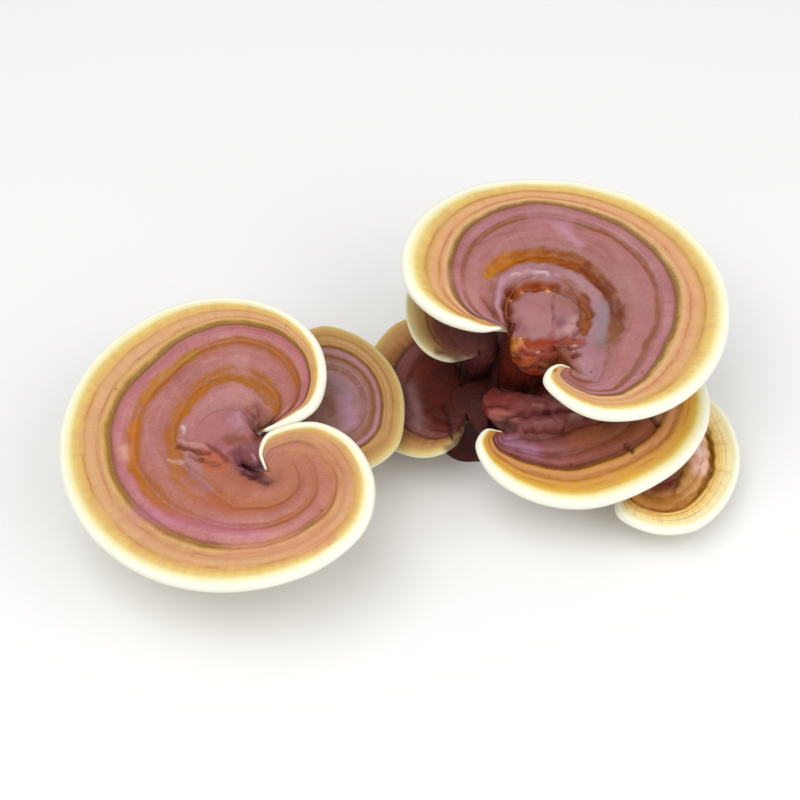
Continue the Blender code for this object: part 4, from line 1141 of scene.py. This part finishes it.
def stem_surface(name, stem):
    """Tube, wall and crown as one grid, with the depth below the edge, crown share and the marks' colour,
    stains and painted light and shade.
    """
    cap = CAPS[stem["cap"]]
    across, away, up = plane_axes(cap["lean"])
    seat = np.array(cap["seat"], float)
    seed = sum(map(ord, name))
    floor_of_cap = cap["depth"] + 1.0
    tube, height, out, turned, radius = stem_tube(stem, seed, seat, floor_of_cap, across, away, up)

    swelling = swell_at(stem, turned)
    edge = edge_level(cap, turned) - swelling * SWELL_DROP
    lap = lap_share(cap, turned)
    rugged = stem.get("rugged", 0.12)
    out_x, out_y = out @ across, out @ away
    rise = np.linspace(0, 1, STRAIGHT_RINGS + 1)[1:, None]
    straight_level = -floor_of_cap + (floor_of_cap + edge - CROWN_SINK) * rise
    straight_radius = (radius + swelling) * np.ones_like(rise)
    unrolled = straight_radius + WALL_SLANT * (edge - straight_level)
    x, y = unrolled * out_x, unrolled * out_y
    wall_height, wall_stain_and_painted_light = marks_at(stem["cap"], x, y)
    wall_height = wall_height + rugged * waves(seed + 7, x / 1.2, y / 1.2, count=16)
    straight_radius = straight_radius + (1 - lap) * wall_height * np.clip(rise * 3, 0, 1)

    ledge = straight_radius[-1] - radius - swelling
    share = np.linspace(1, 0, CROWN_RINGS)[:-1, None]
    crown_radius = (radius + swelling + LAP_WIDTH * lap + ledge * share ** 3) * share
    x, y = crown_radius * out_x, crown_radius * out_y
    mark_height, stain_and_painted_light = marks_at(stem["cap"], x, y)
    middle_level = edge_level(cap, turned).mean()
    crown_level = edge * share ** 2 + middle_level * (1 - share ** 2) + stem["dome"] * (1 - share ** 2.6)
    knots = stem.get("knots", 0.09) * waves(seed + 3, x / 2.4, y / 2.4, count=16)
    torn = rugged * waves(seed + 7, x / 1.2, y / 1.2, count=16) * (1 - lap)
    crown_level = crown_level + mark_height + knots + torn * np.clip(4 * share - 3, 0, 1)
    crease = stem.get("crease", 0.35) * bell(share - 1, 0.09) + 0.4 * bell(share - 1, 0.02)
    crown_level = crown_level - crease * lap

    level = np.concatenate([straight_level, crown_level])
    wide = np.concatenate([straight_radius, crown_radius])
    points = np.concatenate([tube, seat + out * wide[..., None] + up * level[..., None]])
    below = np.concatenate([np.full(tube.shape[:2], -floor_of_cap) + 1.2 * (height - LOWER_RINGS + 1),
                            straight_level - edge, np.zeros(x.shape)])
    crown = np.concatenate([np.ones((LOWER_RINGS + STRAIGHT_RINGS, STEM_SIDES)), share + 0 * x])
    wall_stain_and_painted_light[..., 3] *= np.clip(rise * 2, 0, 1)
    all_stain_and_painted_light = np.concatenate([np.zeros(tube.shape[:2] + (4,)), wall_stain_and_painted_light, stain_and_painted_light])
    ends = np.array([points[0].mean(axis=0), seat + up * level[-1].mean()])
    return points, ends, below, crown, all_stain_and_painted_light


print("a crown laps", LAP_WIDTH, "mm over its cap")

# %% [markdown]
# ## The bark of a stem
#
# Stems are lacquered too, darker than the caps: mahogany with fibres that run up, orange-red on
# the flank of the large one, and the colours of the cap on the crown.

# %% Stem material
BARK_GLOSS = 0.2


def stem_crust(name, heart, rim, flank, bark, bloom_and_sheen, matt):
    """Heart and rim colour on the crown; flank, then bark, by the height below its edge."""
    chain = Chain(name)
    chain.add_grain()
    patch = chain.noise(chain.place, 240.0, 4.0, 0.6)
    fibre = chain.noise(chain.node("ShaderNodeUVMap", uv_map="rings"), 2.0, 5.0, 0.65)
    crown = chain.shift(chain.attribute("crown"), patch, 0.4)
    top = chain.mix(chain.spread(crown, 0.55, 0.98), heart, rim)
    top = chain.mix(chain.times(chain.spread(chain.fine, 0.58, 0.74), 0.25), top, bloom_and_sheen)
    below = chain.attribute("below")
    chain.colour = chain.mix(chain.times(chain.spread(fibre, 0.35, 0.65), 0.6), bark, flank)
    chain.paint(flank, chain.spread(chain.shift(below, patch, 8.0), -13.0, -3.0))
    chain.paint(top, chain.spread(chain.shift(below, patch, 1.2), -0.9, -0.1))
    chain.stain_and_painted_light()
    rough = chain.math("MULTIPLY_ADD", chain.fine, 0.3, matt)
    grain = chain.math("ADD", chain.times(chain.small, 0.6), chain.times(fibre, 0.6))
    return chain.finish(rough, BARK_GLOSS, grain, 0.0007, 0.5)


# Colours of the crown's heart and rim, the flank, the bark and the pale flecks of bloom and painted
# sheen; how matt the crust is.
STEM_COLOURS = {
    "stem_left_large": ("a86a68", "a76865", "7c3c34", "4a1e1c", "cf9f9c", 0.20),
    "stem_left_back": ("8e6660", "84645a", "6a3c30", "4a2a24", "a88480", 0.30),
    # Painted shade: the middle stem is coloured darker for the shade between the caps.
    "stem_middle": ("42160f", "4a160e", "401410", "2e0e0c", "663430", 0.42),
    "stem_upper_small": ("5a2c28", "5c322c", "64302e", "5c2626", "7a4c44", 0.42),
    "stem_top_large": ("a2706c", "96605a", "7e300e", "4a1a1a", "bd8c8e", 0.16),
    "stem_lower_right": ("80403a", "762e26", "6e2412", "421413", "a86a66", 0.22),
    "stem_small_right": ("74301e", "84321e", "5a2418", "3a1812", "a0603c", 0.25),
}
print("stem colours:", len(STEM_COLOURS))

# %% [markdown]
# ## Dressing the stems
#
# The fibres need a UV map that closes round the stem: its two numbers are the sum of the sine and
# cosine of the turn, and the length along the stem.

# %% The seven stems
FIBRE_ROUND = 6
FIBRE_LENGTH = 12
for name, stem in STEMS.items():
    points, tips, below, crown, stain_and_painted_light = stem_surface(name, stem)
    steps = np.linalg.norm(np.diff(points.mean(axis=1), axis=0), axis=1)
    along = np.concatenate([[0], np.cumsum(steps)])[:, None]
    turn = np.linspace(0, 2 * np.pi, STEM_SIDES, endpoint=False)
    around = FIBRE_ROUND * (np.sin(turn) + np.cos(turn))[None, :] + 0 * along
    uv = np.stack([around, along / FIBRE_LENGTH + 0 * around], axis=-1)
    mesh = closed_mesh(name + "_skin", points, tips, uv, {"crown": crown, "below": below}, stain_and_painted_light)
    bark = stem_crust(name + "_crust", *STEM_COLOURS[name])
    add_piece(name + "_skin", mesh, bark, name)

# %% [markdown]
# ## The foot
#
# All stems rise from one low swelling that was cut from its log. Balls melted together would give
# its lumps too, but not an even mesh, so it is a row of half-round sections, lumpy above and flat
# below, with the cork of the cut showing underneath.

# %% Foot
# A row of FOOT is (x, y, half width, height) of one section, in millimetres.
FOOT = [(-99, -37, 4, 3), (-95, -37, 12, 9), (-84, -34, 20, 15), (-72, -29, 19, 14), (-58, -20, 16, 11),
        (-44, -12, 12, 9), (-30, -5, 14, 10), (-16, -3, 26, 17), (-3, 1, 30, 21), (8, 1, 31, 23),
        (20, -1, 28, 20), (31, -5, 20, 13), (39, -8, 10, 7), (42, -9, 4, 3)]
FOOT_SECTIONS = 220
DOME_POINTS = 72
CUT_POINTS = 24
row = smooth_through(FOOT, FOOT_SECTIONS)
arc = np.linspace(0, np.pi, DOME_POINTS)
ground = np.linspace(-1, 1, CUT_POINTS + 2)[1:-1]
lumps = 0.6 * waves(5, row[:, :1] / 6, arc[None, :] * 4, count=9)
lumps = lumps + 0.22 * waves(6, row[:, :1] / 2.2, arc[None, :] * 10, count=12)
lumps = lumps * np.sin(arc)
sections = np.zeros((FOOT_SECTIONS, DOME_POINTS + CUT_POINTS, 3))
sections[..., 0] = row[:, :1]
sections[:, :DOME_POINTS, 1] = row[:, 1:2] + (row[:, 2:3] + lumps) * np.cos(arc)
sections[:, :DOME_POINTS, 2] = (row[:, 3:4] + lumps) * np.sin(arc)
sections[:, DOME_POINTS:, 1] = row[:, 1:2] + row[:, 2:3] * ground
is_cut = np.ones(sections.shape[:2])
is_cut[:, :DOME_POINTS] = 0
ends = sections[[0, -1]].mean(axis=1)
foot_mesh = closed_mesh("foot_skin", sections, ends, sections[..., :2] / 10, {"cut": is_cut},
                        np.zeros(is_cut.shape + (4,)))
print("the foot is", round(np.ptp(sections[..., 0]), 1), "mm long")

# %% [markdown]
# ## The bark of the foot
#
# Dark lumpy crust above, with scales. The cut below shows pale corky flesh with fine pits.

# %% Foot material
def foot_bark():
    """Crust from two noises and the cells of the scales, then cork where the cut is."""
    chain = Chain("foot_bark")
    broad = chain.noise(chain.place, 110.0, 4.0, 0.6)
    fine = chain.noise(chain.place, 700.0, 4.0, 0.7)
    scales = chain.cells(190.0)
    cut = chain.attribute("cut")
    chain.colour = chain.mix(chain.spread(broad, 0.38, 0.62), "3e1512", "5e2622")
    chain.paint("2c0f0c", chain.spread(scales, 0.55, 0.85), 0.5)
    chain.paint("7a4638", chain.spread(fine, 0.56, 0.70), 0.4)
    cork = chain.mix(chain.spread(fine, 0.40, 0.62), "8a6242", "b28a5e")
    chain.paint(cork, chain.spread(cut, 0.4, 0.6))
    rough = chain.math("MAXIMUM", chain.math("MULTIPLY_ADD", fine, 0.25, 0.45), chain.times(cut, 0.9))
    rise = chain.math("MULTIPLY_ADD", chain.times(scales, scales), -1.6, fine)
    rise = chain.math("MULTIPLY_ADD", broad, 2.4, rise)
    return chain.finish(rough, BARK_GLOSS, rise, 0.0008, 0.7)


add_piece("foot_skin", foot_mesh, foot_bark(), "foot")

# %% [markdown]
# ## Camera, floor and light
#
# The camera looks down at 58 degrees from the front with a long lens, as the photograph does. The
# floor is plain and pale, and the light is a broad soft one from the upper left over an even sky.

# %% Camera
LENS = 85
SENSOR_WIDTH = 36
LOOKS_DOWN = 58
CAMERA_DISTANCE = 0.72
AIM = Vector((-0.0381, -0.0022, 0.0))

camera_data = bpy.data.cameras.new("camera")
camera_data.lens = LENS
camera_data.sensor_width = SENSOR_WIDTH
camera_data.clip_start = 0.01
camera = bpy.data.objects.new("camera", camera_data)
bpy.context.scene.collection.objects.link(camera)
elevation = np.radians(LOOKS_DOWN)
forward = Vector((0, np.cos(elevation), -np.sin(elevation)))
camera.location = AIM - forward * CAMERA_DISTANCE
camera.rotation_euler = forward.to_track_quat("-Z", "Y").to_euler()
bpy.context.scene.camera = camera
print("camera at", tuple(round(v, 4) for v in camera.location))

# %% [markdown]
# ## Floor and light
#
# The floor is stage, so it isn't part of the clump. A row of LIGHTS is a name, a place and a size
# in metres, and a power in watts.

# %% Floor and light
FLOOR_HALF = 3
SKY_STRENGTH = 0.50
LIGHTS = [("window", (-0.30, -0.20, 0.95), 0.7, 4.65),
          ("fill", (0.55, -0.35, 0.8), 0.8, 3.45)]

corners = [(-FLOOR_HALF, -FLOOR_HALF, 0), (FLOOR_HALF, -FLOOR_HALF, 0),
           (FLOOR_HALF, FLOOR_HALF, 0), (-FLOOR_HALF, FLOOR_HALF, 0)]
floor_mesh = bpy.data.meshes.new("floor")
floor_mesh.from_pydata(corners, [], [(0, 1, 2, 3)])
floor = bpy.data.objects.new("floor", floor_mesh)
bpy.context.scene.collection.objects.link(floor)
paper = bpy.data.materials.new("paper")
paper.use_nodes = True
paper_shader = paper.node_tree.nodes["Principled BSDF"]
paper_shader.inputs["Base Color"].default_value = (0.92, 0.92, 0.92, 1)
paper_shader.inputs["Roughness"].default_value = 0.9
floor.data.materials.append(paper)

world = bpy.data.worlds.new("studio")
world.use_nodes = True
sky = world.node_tree.nodes["Background"]
sky.inputs["Color"].default_value = (1, 1, 1, 1)
sky.inputs["Strength"].default_value = SKY_STRENGTH
bpy.context.scene.world = world
for label, place, size, power in LIGHTS:
    light_data = bpy.data.lights.new(label, "AREA")
    light_data.size = size
    light_data.energy = power
    light = bpy.data.objects.new(label, light_data)
    light.location = place
    light.rotation_euler = (AIM - Vector(place)).to_track_quat("-Z", "Y").to_euler()
    bpy.context.scene.collection.objects.link(light)
bpy.context.scene.view_settings.view_transform = "Standard"
print("lights:", [label for label, *_ in LIGHTS])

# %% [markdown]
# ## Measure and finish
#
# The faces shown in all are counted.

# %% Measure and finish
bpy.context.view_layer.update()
total = sum(len(o.data.polygons) for o in bpy.data.objects if o.type == "MESH" and not o.hide_render)
print("faces shown in all:", total)
